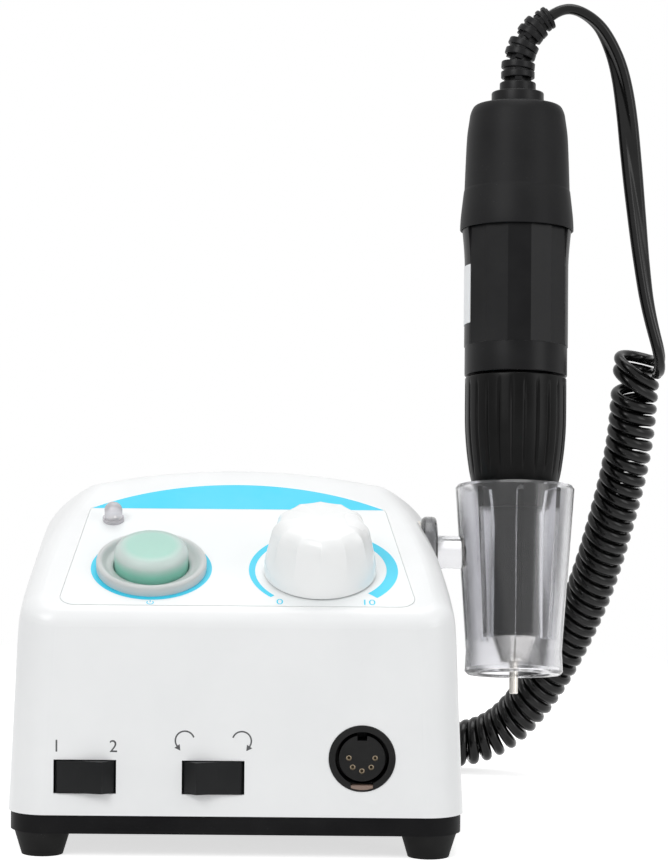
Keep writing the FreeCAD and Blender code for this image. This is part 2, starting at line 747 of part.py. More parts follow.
def core_screw_places():
    return bracket_places(CORE_WIDTH / 2 + BRACKET_THICKNESS + CORE_SCREW_HEAD + STRAP_SCREW_GAP)


def make_base_tray():
    tray = rounded_block(BOX_WIDTH - 2 * TRAY_INSET, BOX_DEPTH - 2 * TRAY_INSET, FOOT_HEIGHT, Z_SEAM,
                         CORNER_RADIUS - TRAY_INSET)
    inset = WALL + LIP_GAP
    lip = rounded_block(BOX_WIDTH - 2 * inset, BOX_DEPTH - 2 * inset, FOOT_HEIGHT, Z_SEAM + LIP_HEIGHT,
                        CORNER_RADIUS - inset)
    inset += LIP_THICKNESS
    room = rounded_block(BOX_WIDTH - 2 * inset, BOX_DEPTH - 2 * inset, Z_TRAY, Z_SEAM + LIP_HEIGHT + 1,
                         CORNER_RADIUS - inset)
    tray = tray.fuse(lip).cut(room)
    for x, y in foot_places():
        tray = tray.cut(rod(POST_RADIUS + LIP_GAP, Z_TRAY, Z_SEAM + LIP_HEIGHT + 1, x, y))
        tray = tray.cut(rod(SCREW_RADIUS + SCREW_GAP, FOOT_HEIGHT - 1, Z_TRAY + 1, x, y))
    for x, y in board_corners():
        tray = tray.fuse(rod(BOARD_POST_RADIUS, Z_TRAY - TRAY_FLOOR / 2, Z_TRAY + BOARD_POST_HEIGHT, x, y))
        tray = tray.cut(rod(BOARD_SCREW_RADIUS + FIT, Z_TRAY, Z_TRAY + BOARD_POST_HEIGHT + 1, x, y))
    for x, y in core_screw_places():
        tray = tray.cut(rod(CORE_SCREW_RADIUS + FIT, FOOT_HEIGHT + TRAY_FLOOR / 4, Z_TRAY + 1, x, y))
    save("base_tray", tray)


def make_feet_and_screws():
    foot = turned([(0, 0), (FOOT_BOTTOM_RADIUS, 0), (FOOT_TOP_RADIUS, FOOT_HEIGHT), (0, FOOT_HEIGHT)])
    foot = foot.cut(rod(SCREW_HEAD_RADIUS + SCREW_GAP, -1, SCREW_SEAT))
    foot = foot.cut(rod(SCREW_RADIUS + SCREW_GAP, 0, FOOT_HEIGHT + 1))
    head = rod(SCREW_HEAD_RADIUS, SCREW_SEAT - SCREW_HEAD_HEIGHT, SCREW_SEAT)
    slot = block(SLOT_WIDTH, SLOT_LENGTH, 0, SCREW_SEAT - SCREW_HEAD_HEIGHT / 2)
    cross = slot.fuse(block(SLOT_LENGTH, SLOT_WIDTH, 0, SCREW_SEAT - SCREW_HEAD_HEIGHT / 2))
    screw = head.cut(cross).fuse(rod(SCREW_RADIUS, SCREW_SEAT, SCREW_SEAT + SCREW_LENGTH))
    level = Placement()
    save("rubber_feet", *[put(foot, level, x, y) for x, y in foot_places()])
    save("base_screws", *[put(screw, level, x, y) for x, y in foot_places()])


# Control panel pieces
def make_control_plate():
    plate = plate_outline(0, -PLATE_RECESS, PLATE_TOP)
    for hole in panel_holes(-3, 3):
        plate = plate.cut(hole)
    save("control_plate", put(plate, PANEL))


def make_power_bezel():
    bore = BUTTON_RADIUS + BUTTON_GAP
    low = PLATE_TOP
    high = low + BEZEL_HEIGHT
    floor = low + BEZEL_FLOOR
    profile = [(bore, -BEZEL_DEPTH), (BEZEL_NECK, -BEZEL_DEPTH), (BEZEL_NECK, low), (BEZEL_RADIUS, low),
               (BEZEL_RADIUS, high - BEZEL_LIP / 2), (BEZEL_RADIUS - BEZEL_LIP / 5, high - BEZEL_LIP / 7),
               (BEZEL_RADIUS - BEZEL_LIP * 0.6, high), (BEZEL_RADIUS - BEZEL_LIP, high - BEZEL_LIP / 5),
               (BEZEL_RADIUS - BEZEL_LIP * 1.7, floor + BEZEL_LIP / 4), (bore + BEZEL_LIP / 3, floor),
               (bore, floor - BEZEL_LIP / 5)]
    save("power_bezel", put(turned(profile), PANEL, POWER_X, POWER_V))


def make_power_button():
    inner = BUTTON_RADIUS - BUTTON_WALL
    shell = rod(BUTTON_RADIUS, -BUTTON_SKIRT, BUTTON_HEIGHT)
    shell = shell.makeFillet(BUTTON_ROUND, rims_at(shell, BUTTON_HEIGHT))
    room = rod(inner, -BUTTON_SKIRT - 1, BUTTON_HEIGHT - BUTTON_WALL)
    rims = rims_at(room, BUTTON_HEIGHT - BUTTON_WALL)
    shell = shell.cut(room.makeFillet(BUTTON_ROUND - BUTTON_WALL, rims))
    save("power_button_cover", put(shell, PANEL, POWER_X, POWER_V))
    base_top = -BUTTON_SKIRT + LAMP_CAP_BASE
    cap = rod(LAMP_CAP_RADIUS, base_top, LAMP_CAP_HEIGHT)
    cap = cap.makeFillet(BUTTON_ROUND - BUTTON_WALL, rims_at(cap, LAMP_CAP_HEIGHT))
    cap = cap.fuse(rod(inner - FIT, -BUTTON_SKIRT, base_top))
    cap = cap.fuse(rod(STEM_RADIUS, -BUTTON_SKIRT - STEM_LENGTH, base_top))
    save("power_button_cap", put(cap, PANEL, POWER_X, POWER_V))


def power_floor():
    return -BUTTON_SKIRT - BUTTON_TRAVEL - 2 * BUTTON_SPRING_WIRE * 2 - BUTTON_GAP


def make_power_switch():
    top = -WALL
    floor = min(power_floor(), -BEZEL_DEPTH)
    low = floor - POWER_BODY_DEPTH
    body = block(POWER_BODY_SIDE, POWER_BODY_SIDE, low, top)
    body = body.cut(rod(BEZEL_NECK + FIT, floor, top + 1))
    body = body.cut(rod(STEM_RADIUS + FIT, low + POWER_BODY_FLOOR, floor + 1))
    save("power_switch_body", put(body, PANEL, POWER_X, POWER_V))
    height = -BUTTON_SKIRT - floor
    wire = BUTTON_SPRING_WIRE
    rise = (height - 2 * wire) / BUTTON_SPRING_TURNS
    spring = []
    for turn in range(BUTTON_SPRING_TURNS * 2 + 1):
        angle = math.pi * turn
        radius = BUTTON_SPRING_RADIUS
        point = V(radius * math.cos(angle), radius * math.sin(angle), floor + wire + rise * turn / 2)
        heading = V(-radius * math.sin(angle), radius * math.cos(angle), rise / (2 * math.pi))
        spring.append((point, heading))
    save("button_spring", put(tube_of_turns(spring, wire), PANEL, POWER_X, POWER_V))


def make_overload_lamp():
    straight = LED_HEIGHT - LED_RADIUS
    lamp = rod(LED_RADIUS, -LED_DEPTH, straight)
    lamp = lamp.fuse(Part.makeSphere(LED_RADIUS, V(0, 0, straight)))
    lamp = lamp.fuse(rod(LED_FLANGE_RADIUS, PLATE_TOP, PLATE_TOP + LED_FLANGE_HEIGHT))
    for side in (-1, 1):
        lamp = lamp.fuse(rod(LEG_RADIUS, -LED_DEPTH - LEG_LENGTH, -LED_DEPTH, side * LED_RADIUS / 2))
    save("overload_lamp", put(lamp, PANEL, LED_X, LED_V))


def make_speed_knob():
    low = PLATE_TOP + KNOB_GAP
    flare = KNOB_FLARE
    profile = [(0, low), (KNOB_RADIUS - flare, low), (KNOB_RADIUS, low + flare),
               (KNOB_RADIUS - flare, low + KNOB_FOOT_RISE), (KNOB_TOP_RADIUS + flare, KNOB_SHOULDER),
               (KNOB_TOP_RADIUS - flare, KNOB_SHOULDER + KNOB_SHOULDER_RISE),
               (KNOB_TOP_RADIUS * 0.8, KNOB_HEIGHT - KNOB_CROWN),
               (KNOB_TOP_RADIUS / 2, KNOB_HEIGHT - KNOB_CROWN / 4), (0, KNOB_HEIGHT)]
    knob = turned(profile)
    slope = math.atan2(KNOB_RADIUS - KNOB_TOP_RADIUS, KNOB_SHOULDER)
    for number in range(KNOB_FLUTES):
        flute = Part.makeCylinder(FLUTE_RADIUS, 2 * KNOB_HEIGHT, V(0, 0, -KNOB_HEIGHT))
        flute.rotate(V(0, 0, 0), V(0, 1, 0), -math.degrees(slope) * FLUTE_LEAN)
        flute.translate(V(KNOB_TOP_RADIUS + FLUTE_RADIUS - FLUTE_DEPTH, 0, KNOB_SHOULDER))
        flute.rotate(V(0, 0, 0), V(0, 0, 1), 360.0 * number / KNOB_FLUTES)
        knob = knob.cut(flute)
    under = turned([(KNOB_HUB_RADIUS, low - 1), (KNOB_RADIUS - KNOB_WALL, low - 1),
                    (KNOB_TOP_RADIUS - KNOB_WALL - 1, KNOB_SHOULDER - KNOB_WALL),
                    (KNOB_HUB_RADIUS, KNOB_SHOULDER - KNOB_WALL)])
    knob = knob.cut(under)
    knob = knob.cut(rod(BUSHING_RADIUS + NUT_ACROSS / 2, low - 1, PLATE_TOP + BUSHING_RISE + KNOB_GAP))
    knob = knob.cut(shaft_form(FIT, low - 1))
    save("speed_knob", put(knob, PANEL, KNOB_X, KNOB_V))
    save("pot_shaft", put(shaft_form(0, -WALL - POT_DEPTH + 2 * POT_FLOOR), PANEL, KNOB_X, KNOB_V))


def shaft_form(grow, low):
    radius = SHAFT_RADIUS + grow
    top = SHAFT_RISE + grow
    shaft = rod(radius, low, top)
    flat_low = PLATE_TOP + BUSHING_RISE + KNOB_GAP
    side = SHAFT_RADIUS - SHAFT_FLAT + grow
    flat = block(2 * radius, 2 * radius, flat_low, top + 1, 0, side + radius)
    return shaft.cut(flat)


def make_speed_control():
    body = rod(POT_RADIUS, -WALL - POT_DEPTH, -WALL)
    body = body.fuse(rod(BUSHING_RADIUS, -WALL - 1, PLATE_TOP + BUSHING_RISE))
    body = body.cut(rod(SHAFT_RADIUS + FIT, -WALL - POT_DEPTH + POT_FLOOR, 2 * BUSHING_RISE))
    save("speed_control", put(body, PANEL, KNOB_X, KNOB_V))
    nut = hexagon(NUT_ACROSS, PLATE_TOP, PLATE_TOP + NUT_HEIGHT)
    nut = nut.cut(rod(BUSHING_RADIUS + FIT, -1, 2 * BUSHING_RISE))
    return put(nut, PANEL, KNOB_X, KNOB_V)


# Front face pieces
def rocker_frame(x):
    return FRONT.multiply(Placement(V(x, front_height(ROCKER_Z), -ROCKER_PIVOT_DEPTH), Rotation()))


def make_rocker_switch(name, x, tilt):
    frame = rocker_frame(x)
    profile = [(-ROCKER_BOTTOM, -ROCKER_BOTTOM_DROP), (ROCKER_BOTTOM, -ROCKER_BOTTOM_DROP),
               (ROCKER_END, ROCKER_END_RISE), (ROCKER_FACE, ROCKER_FACE_RISE), (0, ROCKER_FACE_RISE - 0.7),
               (-ROCKER_FACE, ROCKER_FACE_RISE), (-ROCKER_END, ROCKER_END_RISE)]
    half = ROCKER_HEIGHT / 2
    rocker = prism([V(px, -half, pz) for px, pz in profile], V(0, ROCKER_HEIGHT, 0))
    reach = half + ROCKER_PIN_LENGTH
    rocker = rocker.fuse(Part.makeCylinder(ROCKER_PIN_RADIUS, 2 * reach, V(0, -reach, 0), V(0, 1, 0)))
    rocker.rotate(V(0, 0, 0), V(0, 1, 0), tilt)
    save(name + "_rocker", put(rocker, frame))
    top = ROCKER_PIVOT_DEPTH - APERTURE_WALL
    body = block(POCKET_WIDTH - 2 * FIT, POCKET_HEIGHT - 2 * FIT, top - SWITCH_DEPTH, top)
    room_width = POCKET_WIDTH - 2 * FIT - 2 * SWITCH_SIDE_WALL
    body = body.cut(block(room_width, ROCKER_HEIGHT + 2 * BUTTON_GAP, top - SWITCH_CAVITY, top + 1))
    pin = reach + FIT
    body = body.cut(Part.makeCylinder(ROCKER_PIN_RADIUS + FIT, 2 * pin, V(0, -pin, 0), V(0, 1, 0)))
    save(name + "_switch", put(body, frame))
    low = top - SWITCH_DEPTH - BLADE_LENGTH
    return [put(block(BLADE_THICKNESS, BLADE_WIDTH, low, top - SWITCH_DEPTH, BLADE_SPACING * step), frame)
            for step in (-1, 0, 1)]


def make_motor_socket():
    height = front_height(SOCKET_Z)
    back = -WALL - SOCKET_FLANGE_THICKNESS
    shell = rod(SOCKET_RADIUS, -WALL, SOCKET_PROUD).fuse(rod(SOCKET_FLANGE, back, -WALL))
    shell = shell.fuse(rod(SOCKET_RADIUS, -SOCKET_DEPTH, back))
    shell = shell.makeFillet(SOCKET_EDGE, rims_at(shell, SOCKET_PROUD))
    shell = shell.cut(rod(SOCKET_BORE, -SOCKET_DEPTH - 1, SOCKET_PROUD + 1))
    notch_low = SOCKET_PROUD - LATCH_LENGTH
    notch = block(LATCH_WIDTH + 2 * FIT, 2 * LATCH_HEIGHT, notch_low, SOCKET_PROUD + 1, 0, -SOCKET_BORE)
    shell = shell.cut(notch.common(rod(SOCKET_BORE + LATCH_HEIGHT + FIT, -SOCKET_DEPTH, SOCKET_PROUD + 1)))
    save("motor_socket_shell", put(shell, FRONT, SOCKET_X, height))
    front = -INSERT_SET_BACK
    insert = rod(INSERT_RADIUS, -SOCKET_DEPTH + INSERT_BASE, front)
    insert = insert.fuse(rod(SOCKET_BORE - FIT, -SOCKET_DEPTH, -SOCKET_DEPTH + INSERT_BASE))
    key = block(KEY_WIDTH, 2 * KEY_DEPTH, -SOCKET_DEPTH + INSERT_BASE, front + 1, 0, INSERT_RADIUS)
    insert = insert.cut(key)
    contacts = []
    for number in range(PIN_COUNT):
        angle = math.radians(180 + PIN_STEP * number)
        x = PIN_CIRCLE * math.cos(angle)
        y = PIN_CIRCLE * math.sin(angle)
        insert = insert.cut(rod(PIN_HOLE, -SOCKET_DEPTH - 1, front + 1, x, y))
        contact = rod(PIN_HOLE - FIT, -SOCKET_DEPTH - TERMINAL_LENGTH, front - CONTACT_SET_BACK, x, y)
        contact = contact.cut(rod(PIN_HOLE - CONTACT_WALL, -SOCKET_DEPTH + CONTACT_BORE_DEPTH, front, x, y))
        contacts.append(put(contact, FRONT, SOCKET_X, height))
    save("motor_socket_insert", put(insert, FRONT, SOCKET_X, height))
    save("motor_socket_contacts", *contacts)
    latch = block(LATCH_WIDTH, LATCH_HEIGHT, SOCKET_PROUD - LATCH_LENGTH + FIT, SOCKET_PROUD - 0.1, 0,
                  -SOCKET_BORE - LATCH_HEIGHT / 2)
    latch = latch.common(rod(SOCKET_BORE + LATCH_HEIGHT, -SOCKET_DEPTH, SOCKET_PROUD + 1))
    save("socket_latch", put(latch, FRONT, SOCKET_X, height))


# Rear face pieces
def make_mains_inlet():
    height = front_height(REAR_Z)
    face = INLET_FLANGE_THICKNESS
    body = block(INLET_WIDTH + 2 * INLET_WALL, INLET_HEIGHT + 2 * INLET_WALL, -INLET_DEPTH, face)
    body = body.fuse(rounded_block(INLET_FLANGE_WIDTH, INLET_FLANGE_HEIGHT, 0, face, INLET_FLANGE_CORNER))
    mouth = face - INLET_CAVITY
    body = body.cut(block(INLET_WIDTH, INLET_HEIGHT, mouth, face + 1))
    pins = []
    screws = []
    for step in (-1, 0, 1):
        offset = INLET_PIN_OFFSET if step == 0 else -INLET_PIN_OFFSET
        x = step * INLET_PIN_SPACING
        slot = block(INLET_PIN_THICKNESS, INLET_PIN_WIDTH, -INLET_DEPTH - 1, mouth + 1, x, offset)
        body = body.cut(slot)
        pin = block(INLET_PIN_THICKNESS - FIT, INLET_PIN_WIDTH - FIT, -INLET_DEPTH - BLADE_LENGTH,
                    mouth + INLET_PIN_LENGTH, x, offset)
        pins.append(put(pin, REAR, -INLET_X, height))
    for side in (-1, 1):
        x = side * INLET_SCREW_SPACING / 2
        body = body.cut(rod(SCREW_RADIUS + SCREW_GAP, -1, face + 1, x))
        screw = rod(SCREW_HEAD_RADIUS, face, face + SCREW_HEAD_HEIGHT, x)
        slot_low = face + SCREW_HEAD_HEIGHT / 2
        screw = screw.cut(block(SLOT_WIDTH, SLOT_LENGTH, slot_low, 2 * INLET_SCREW_LENGTH, x))
        screw = screw.fuse(rod(SCREW_RADIUS, face - INLET_SCREW_LENGTH, face, x))
        screws.append(put(screw, REAR, -INLET_X, height))
    save("mains_inlet", put(body, REAR, -INLET_X, height))
    save("inlet_pins", *pins)
    return screws


def make_fuse_and_jack():
    height = front_height(REAR_Z)
    holder = rod(FUSE_RADIUS, -FUSE_LENGTH, FUSE_FLANGE).fuse(rod(FUSE_CAP_RADIUS, 0, FUSE_FLANGE))
    cap = rod(FUSE_CAP_RADIUS - EDGE_ROUND, FUSE_FLANGE, FUSE_CAP_HEIGHT)
    cap = cap.makeFillet(EDGE_ROUND, rims_at(cap, FUSE_CAP_HEIGHT))
    slot_low = FUSE_CAP_HEIGHT - FUSE_SLOT_DEPTH
    cap = cap.cut(block(FUSE_SLOT_WIDTH, FUSE_CAP_RADIUS, slot_low, FUSE_CAP_HEIGHT + 1))
    nut = ring(FUSE_NUT_RADIUS, FUSE_RADIUS + FIT, -WALL - FUSE_NUT_HEIGHT, -WALL)
    save("fuse_holder", put(holder, REAR, -FUSE_X, height))
    save("fuse_cap", put(cap, REAR, -FUSE_X, height))
    fuse_nut = put(nut, REAR, -FUSE_X, height)
    jack = block(JACK_BODY, JACK_BODY, -WALL - JACK_DEPTH, -WALL)
    jack = jack.fuse(rod(JACK_COLLAR, -WALL - 1, JACK_NUT_HEIGHT + JACK_PROUD))
    jack = jack.cut(rod(JACK_BORE, -WALL - JACK_DEPTH + JACK_FLOOR, 2 * JACK_NUT_HEIGHT))
    nut = ring(JACK_NUT_RADIUS, JACK_COLLAR + FIT, 0, JACK_NUT_HEIGHT)
    save("pedal_jack", put(jack, REAR, -JACK_X, height))
    return [fuse_nut, put(nut, REAR, -JACK_X, height)]


# Inside the box
def make_main_board():
    low = Z_TRAY + BOARD_POST_HEIGHT
    top = low + BOARD_THICKNESS
    board = block(BOARD_WIDTH, BOARD_DEPTH, low, top, BOARD_X, BOARD_Y)
    screws = []
    for x, y in board_corners():
        board = board.cut(rod(BOARD_SCREW_RADIUS + SCREW_GAP, low - 1, top + 1, x, y))
        head = rod(BOARD_SCREW_HEAD, top, top + BOARD_SCREW_HEAD_HEIGHT, x, y)
        head = head.cut(block(SLOT_WIDTH, BOARD_SCREW_HEAD, top + BOARD_SCREW_HEAD_HEIGHT / 2, 2 * top, x, y))
        screws.append(head.fuse(rod(BOARD_SCREW_RADIUS, top - BOARD_SCREW_LENGTH, top, x, y)))
    terminals = block(TERMINAL_WIDTH, TERMINAL_DEPTH, top, top + TERMINAL_HEIGHT, BOARD_X,
                      BOARD_Y - BOARD_DEPTH / 2 + BOARD_MARGIN * 2 + TERMINAL_DEPTH / 2)
    save("main_board", board.fuse(terminals))
    save("board_screws", *screws)
    capacitors = []
    for step in (-1, 0):
        y = BOARD_Y + (step + 0.5) * CAPACITOR_SPACING
        can = rod(CAPACITOR_RADIUS, top, top + CAPACITOR_HEIGHT, BOARD_X + BOARD_WIDTH / 4, y)
        capacitors.append(can.makeFillet(EDGE_ROUND, rims_at(can, top + CAPACITOR_HEIGHT)))
    save("capacitors", *capacitors)
    sink_x = BOARD_X - BOARD_WIDTH / 4 + 1.0
    sink_y = BOARD_Y + BOARD_DEPTH / 4
    sink = block(SINK_WIDTH, SINK_BASE, top, top + SINK_HEIGHT, sink_x, sink_y)
    pitch = (SINK_WIDTH - SINK_FIN) / (SINK_FINS - 1)
    for number in range(SINK_FINS):
        x = sink_x - SINK_WIDTH / 2 + SINK_FIN / 2 + number * pitch
        y = sink_y + (SINK_DEPTH - SINK_BASE) / 2
        sink = sink.fuse(block(SINK_FIN, SINK_DEPTH, top, top + SINK_HEIGHT, x, y))
    save("heat_sink", sink.removeSplitter())
    chip_y = sink_y - SINK_BASE / 2 - POWER_CHIP_THICKNESS / 2
    chip = block(POWER_CHIP_WIDTH, POWER_CHIP_THICKNESS, top, top + POWER_CHIP_HEIGHT, sink_x, chip_y)
    save("power_transistor", chip)


def make_transformer():
    low = Z_TRAY
    core = block(CORE_WIDTH, CORE_STACK, low, low + CORE_HEIGHT, CORE_X, CORE_Y)
    window = (CORE_WIDTH - 4 * CORE_LIMB) / 2
    for side in (-1, 1):
        x = CORE_X + side * (CORE_LIMB + window / 2)
        opening = block(window, CORE_STACK + 2, low + CORE_LIMB, low + CORE_HEIGHT - CORE_LIMB, x, CORE_Y)
        core = core.cut(opening)
    save("transformer_core", core)
    wind_low = low + CORE_LIMB + WINDING_GAP
    wind_high = low + CORE_HEIGHT - CORE_LIMB - WINDING_GAP
    width = 2 * (CORE_LIMB + window - WINDING_GAP)
    winding = rounded_block(width, CORE_DEPTH, wind_low, wind_high, WINDING_CORNER)
    winding = winding.cut(block(2 * CORE_LIMB + 2 * FIT, CORE_STACK + 2 * FIT, low, low + CORE_HEIGHT))
    winding = put(winding, Placement(), CORE_X, CORE_Y)
    save("transformer_winding", winding)
    strap_top = low + CORE_HEIGHT + BRACKET_THICKNESS
    strap_depth = CORE_STACK - 2 * STRAP_INSET
    strap = block(CORE_WIDTH + 2 * BRACKET_THICKNESS, strap_depth, low, strap_top, CORE_X, CORE_Y)
    strap = strap.cut(block(CORE_WIDTH, CORE_STACK + 2, low - 1, low + CORE_HEIGHT, CORE_X, CORE_Y))
    screws = []
    for x, y in bracket_places(CORE_WIDTH / 2 + BRACKET_FOOT / 2):
        strap = strap.fuse(block(BRACKET_FOOT, strap_depth, low, low + BRACKET_THICKNESS, x, y))
    seat = low + BRACKET_THICKNESS
    for x, y in core_screw_places():
        strap = strap.cut(rod(CORE_SCREW_RADIUS + SCREW_GAP, low - 1, seat + 1, x, y))
        head = rod(CORE_SCREW_HEAD, seat, seat + SCREW_HEAD_HEIGHT, x, y)
        shank = rod(CORE_SCREW_RADIUS, FOOT_HEIGHT + TRAY_FLOOR / 3, seat, x, y)
        screws.append(head.fuse(shank))
    save("transformer_strap", strap.removeSplitter())
    return screws


# Holder
def cup_inner_radius(z):
    if z < CUP_WAIST:
        share = (z - CUP_BOTTOM) / (CUP_WAIST - CUP_BOTTOM)
        return CUP_BOTTOM_RADIUS + share * (CUP_WAIST_RADIUS - CUP_BOTTOM_RADIUS) - CUP_WALL
    share = (z - CUP_WAIST) / (CUP_RIM - CUP_WAIST)
    return CUP_WAIST_RADIUS + share * (CUP_RIM_RADIUS - CUP_WAIST_RADIUS) - CUP_WALL


def make_holder():
    rim_middle = CUP_RIM_RADIUS - CUP_WALL / 2
    outer = turned([(0, CUP_BOTTOM), (CUP_BOTTOM_RADIUS - CUP_EDGE, CUP_BOTTOM),
                    (CUP_BOTTOM_RADIUS, CUP_BOTTOM + CUP_EDGE), (CUP_WAIST_RADIUS, CUP_WAIST),
                    (CUP_RIM_RADIUS, CUP_RIM - CUP_EDGE), (rim_middle + 0.3, CUP_RIM), (0, CUP_RIM)])
    room = turned([(0, CUP_BOTTOM + CUP_WALL), (cup_inner_radius(CUP_BOTTOM), CUP_BOTTOM + CUP_WALL),
                   (cup_inner_radius(CUP_WAIST), CUP_WAIST), (cup_inner_radius(CUP_RIM), CUP_RIM),
                   (cup_inner_radius(CUP_RIM), CUP_RIM + CUP_WALL), (0, CUP_RIM + CUP_WALL)])
    cup = outer.cut(room).cut(rod(CUP_HOLE_RADIUS, CUP_BOTTOM - 1, CUP_BOTTOM + CUP_WALL + 1))
    fin_top = SLEEVE_LOW + FIN_RISE
    seat = SLEEVE_LOW_RADIUS + SEAT_GAP
    middle = CUP_WALL / 2
    outline = [(FIN_RADIUS, FIN_BOTTOM), (FIN_RADIUS, FIN_SHOULDER),
               (SLEEVE_BOTTOM_RADIUS + 2 * SEAT_GAP, SLEEVE_BOTTOM), (seat, SLEEVE_LOW),
               (cup_inner_radius(fin_top) + middle, fin_top),
               (cup_inner_radius(FIN_BOTTOM) + middle, FIN_BOTTOM)]
    fin = prism([V(x, -FIN_THICKNESS / 2, z) for x, z in outline], V(0, FIN_THICKNESS, 0))
    for number in range(FIN_COUNT):
        blade = fin.copy()
        blade.rotate(V(0, 0, 0), V(0, 0, 1), 360.0 * number / FIN_COUNT + FIN_TURN)
        cup = cup.fuse(blade)
    disc_outer = peg_x(DISC_OUTER_X)
    disc_inner = peg_x(DISC_INNER_X)
    disc = rod_x(DISC_RADIUS, disc_inner, disc_outer)
    rims = [e for e in disc.Edges if e.Closed]
    disc = disc.makeFillet(DISC_ROUND, rims)
    groove = bush_end() - CLIP_GAP
    peg = rod_x(PEG_RADIUS, groove - CLIP_THICKNESS - PEG_END, -CUP_WAIST_RADIUS + 3)
    peg = peg.cut(rod_x(PEG_RADIUS + 1, groove - CLIP_THICKNESS, groove).cut(
        rod_x(CLIP_GROOVE_RADIUS, groove - CLIP_THICKNESS - 1, groove + 1)))
    arm = disc.fuse(peg).cut(room)
    save("holder_cup", put(cup.fuse(arm), HOLDER))
    clip = ring(CLIP_RADIUS, CLIP_GROOVE_RADIUS + FIT, 0, CLIP_THICKNESS)
    clip = clip.cut(block(CLIP_MOUTH, CLIP_RADIUS, -1, CLIP_THICKNESS + 1, 0, -CLIP_RADIUS / 2))
    clip.rotate(V(0, 0, 0), V(0, 1, 0), 90)
    save("pivot_clip", put(clip, HOLDER, groove - CLIP_THICKNESS))


def bush_end():
    return peg_x(DISC_INNER_X) - DISC_GAP - BUSH_LENGTH


def make_pivot_bush():
    face = peg_x(DISC_INNER_X) - DISC_GAP
    bush = rod_x(BUSH_RADIUS, bush_end(), face).fuse(rod_x(BUSH_FLANGE_RADIUS, face - BUSH_FLANGE, face))
    bush = bush.cut(rod_x(PEG_RADIUS + FIT, bush_end() - 1, face + 1))
    save("pivot_bush", put(bush, HOLDER))
    nut = hexagon(BUSH_NUT_ACROSS, 0, BUSH_NUT_HEIGHT)
    nut = nut.cut(rod(BUSH_RADIUS + FIT, -1, BUSH_NUT_HEIGHT + 1))
    nut.rotate(V(0, 0, 0), V(0, 1, 0), 90)
    return put(nut, HOLDER, face - POCKET_BOSS - BUSH_NUT_HEIGHT)


# Handpiece
def make_chuck_sleeve():
    profile = [(0, SLEEVE_BOTTOM), (SLEEVE_BOTTOM_RADIUS, SLEEVE_BOTTOM), (SLEEVE_LOW_RADIUS, SLEEVE_LOW),
               (SLEEVE_MID_RADIUS, SLEEVE_MID), (SLEEVE_HIGH_RADIUS, SLEEVE_HIGH),
               (SLEEVE_RADIUS, SLEEVE_FULL), (SLEEVE_RADIUS, SLEEVE_TOP - SLEEVE_EDGE),
               (SLEEVE_RADIUS - SLEEVE_EDGE, SLEEVE_TOP), (0, SLEEVE_TOP)]
    sleeve = turned(profile)
    slope = math.atan2(SLEEVE_RADIUS - SLEEVE_MID_RADIUS, SLEEVE_FULL - SLEEVE_MID)
    x = SLEEVE_RADIUS + SLEEVE_RIB_RADIUS - SLEEVE_RIB_DEPTH
    way = V(-math.tan(slope), 0, -1)
    for number in range(SLEEVE_RIBS):
        groove = rod(SLEEVE_RIB_RADIUS, SLEEVE_HIGH, SLEEVE_RIB_TOP, x)
        low = Part.makeCylinder(SLEEVE_RIB_RADIUS, SLEEVE_HIGH - SLEEVE_RIB_BOTTOM, V(x, 0, SLEEVE_HIGH), way)
        groove = groove.fuse(low)
        groove.rotate(V(0, 0, 0), V(0, 0, 1), 360.0 * number / SLEEVE_RIBS)
        sleeve = sleeve.cut(groove)
    shoulder = SPIGOT_BOTTOM - NOSE_FLANGE_THICKNESS - SEAT_GAP
    sleeve = sleeve.cut(rod(SPIGOT_RADIUS + FIT, shoulder, SLEEVE_TOP + 1))
    sleeve = sleeve.cut(rod(NOSE_RADIUS + FIT, SLEEVE_BOTTOM - 1, SLEEVE_TOP))
    save("chuck_sleeve", put(sleeve, HOLDER))


def facet_corner():
    return FACET_ACROSS / 2 / math.cos(math.pi / FACET_COUNT)


def around(radius, angle, z):
    return V(radius * math.cos(angle), radius * math.sin(angle), z)


def facet_form():
    step = 2 * math.pi / FACET_COUNT
    corners = [around(facet_corner(), step * number, BAND_TOP) for number in range(FACET_COUNT)]
    return prism(corners, V(0, 0, FACET_TOP - BAND_TOP))


def make_motor_housing():
    low = SLEEVE_TOP + SLEEVE_GAP
    housing = rod(HOUSING_RADIUS, low, BAND_TOP).fuse(facet_form())
    housing = housing.fuse(rod(HOUSING_SPIGOT_RADIUS, FACET_TOP, HOUSING_TOP))
    housing = housing.fuse(rod(SPIGOT_RADIUS, SPIGOT_BOTTOM, low))
    housing = housing.cut(rod(HOUSING_BORE, MOTOR_FLOOR, HOUSING_TOP + 1))
    housing = housing.cut(rod(NOSE_RADIUS + FIT, SPIGOT_BOTTOM - 1, NOSE_TOP + FIT))
    housing = housing.cut(rod(SHAFT_STEEL_RADIUS + SEAT_GAP, NOSE_TOP - 1, MOTOR_FLOOR + 1))
    save("motor_housing", put(housing, HOLDER))
    label = ring(facet_corner() + LABEL_THICKNESS, FACET_ACROSS / 2, LABEL_BOTTOM, LABEL_TOP)
    label = label.cut(facet_form())
    reach = 3 * facet_corner()
    wedge = prism([V(0, 0, LABEL_BOTTOM), around(reach, math.radians(LABEL_START), LABEL_BOTTOM),
                   around(reach, math.radians(LABEL_END), LABEL_BOTTOM)], V(0, 0, LABEL_TOP - LABEL_BOTTOM))
    save("blank_label", put(label.common(wedge), HOLDER))


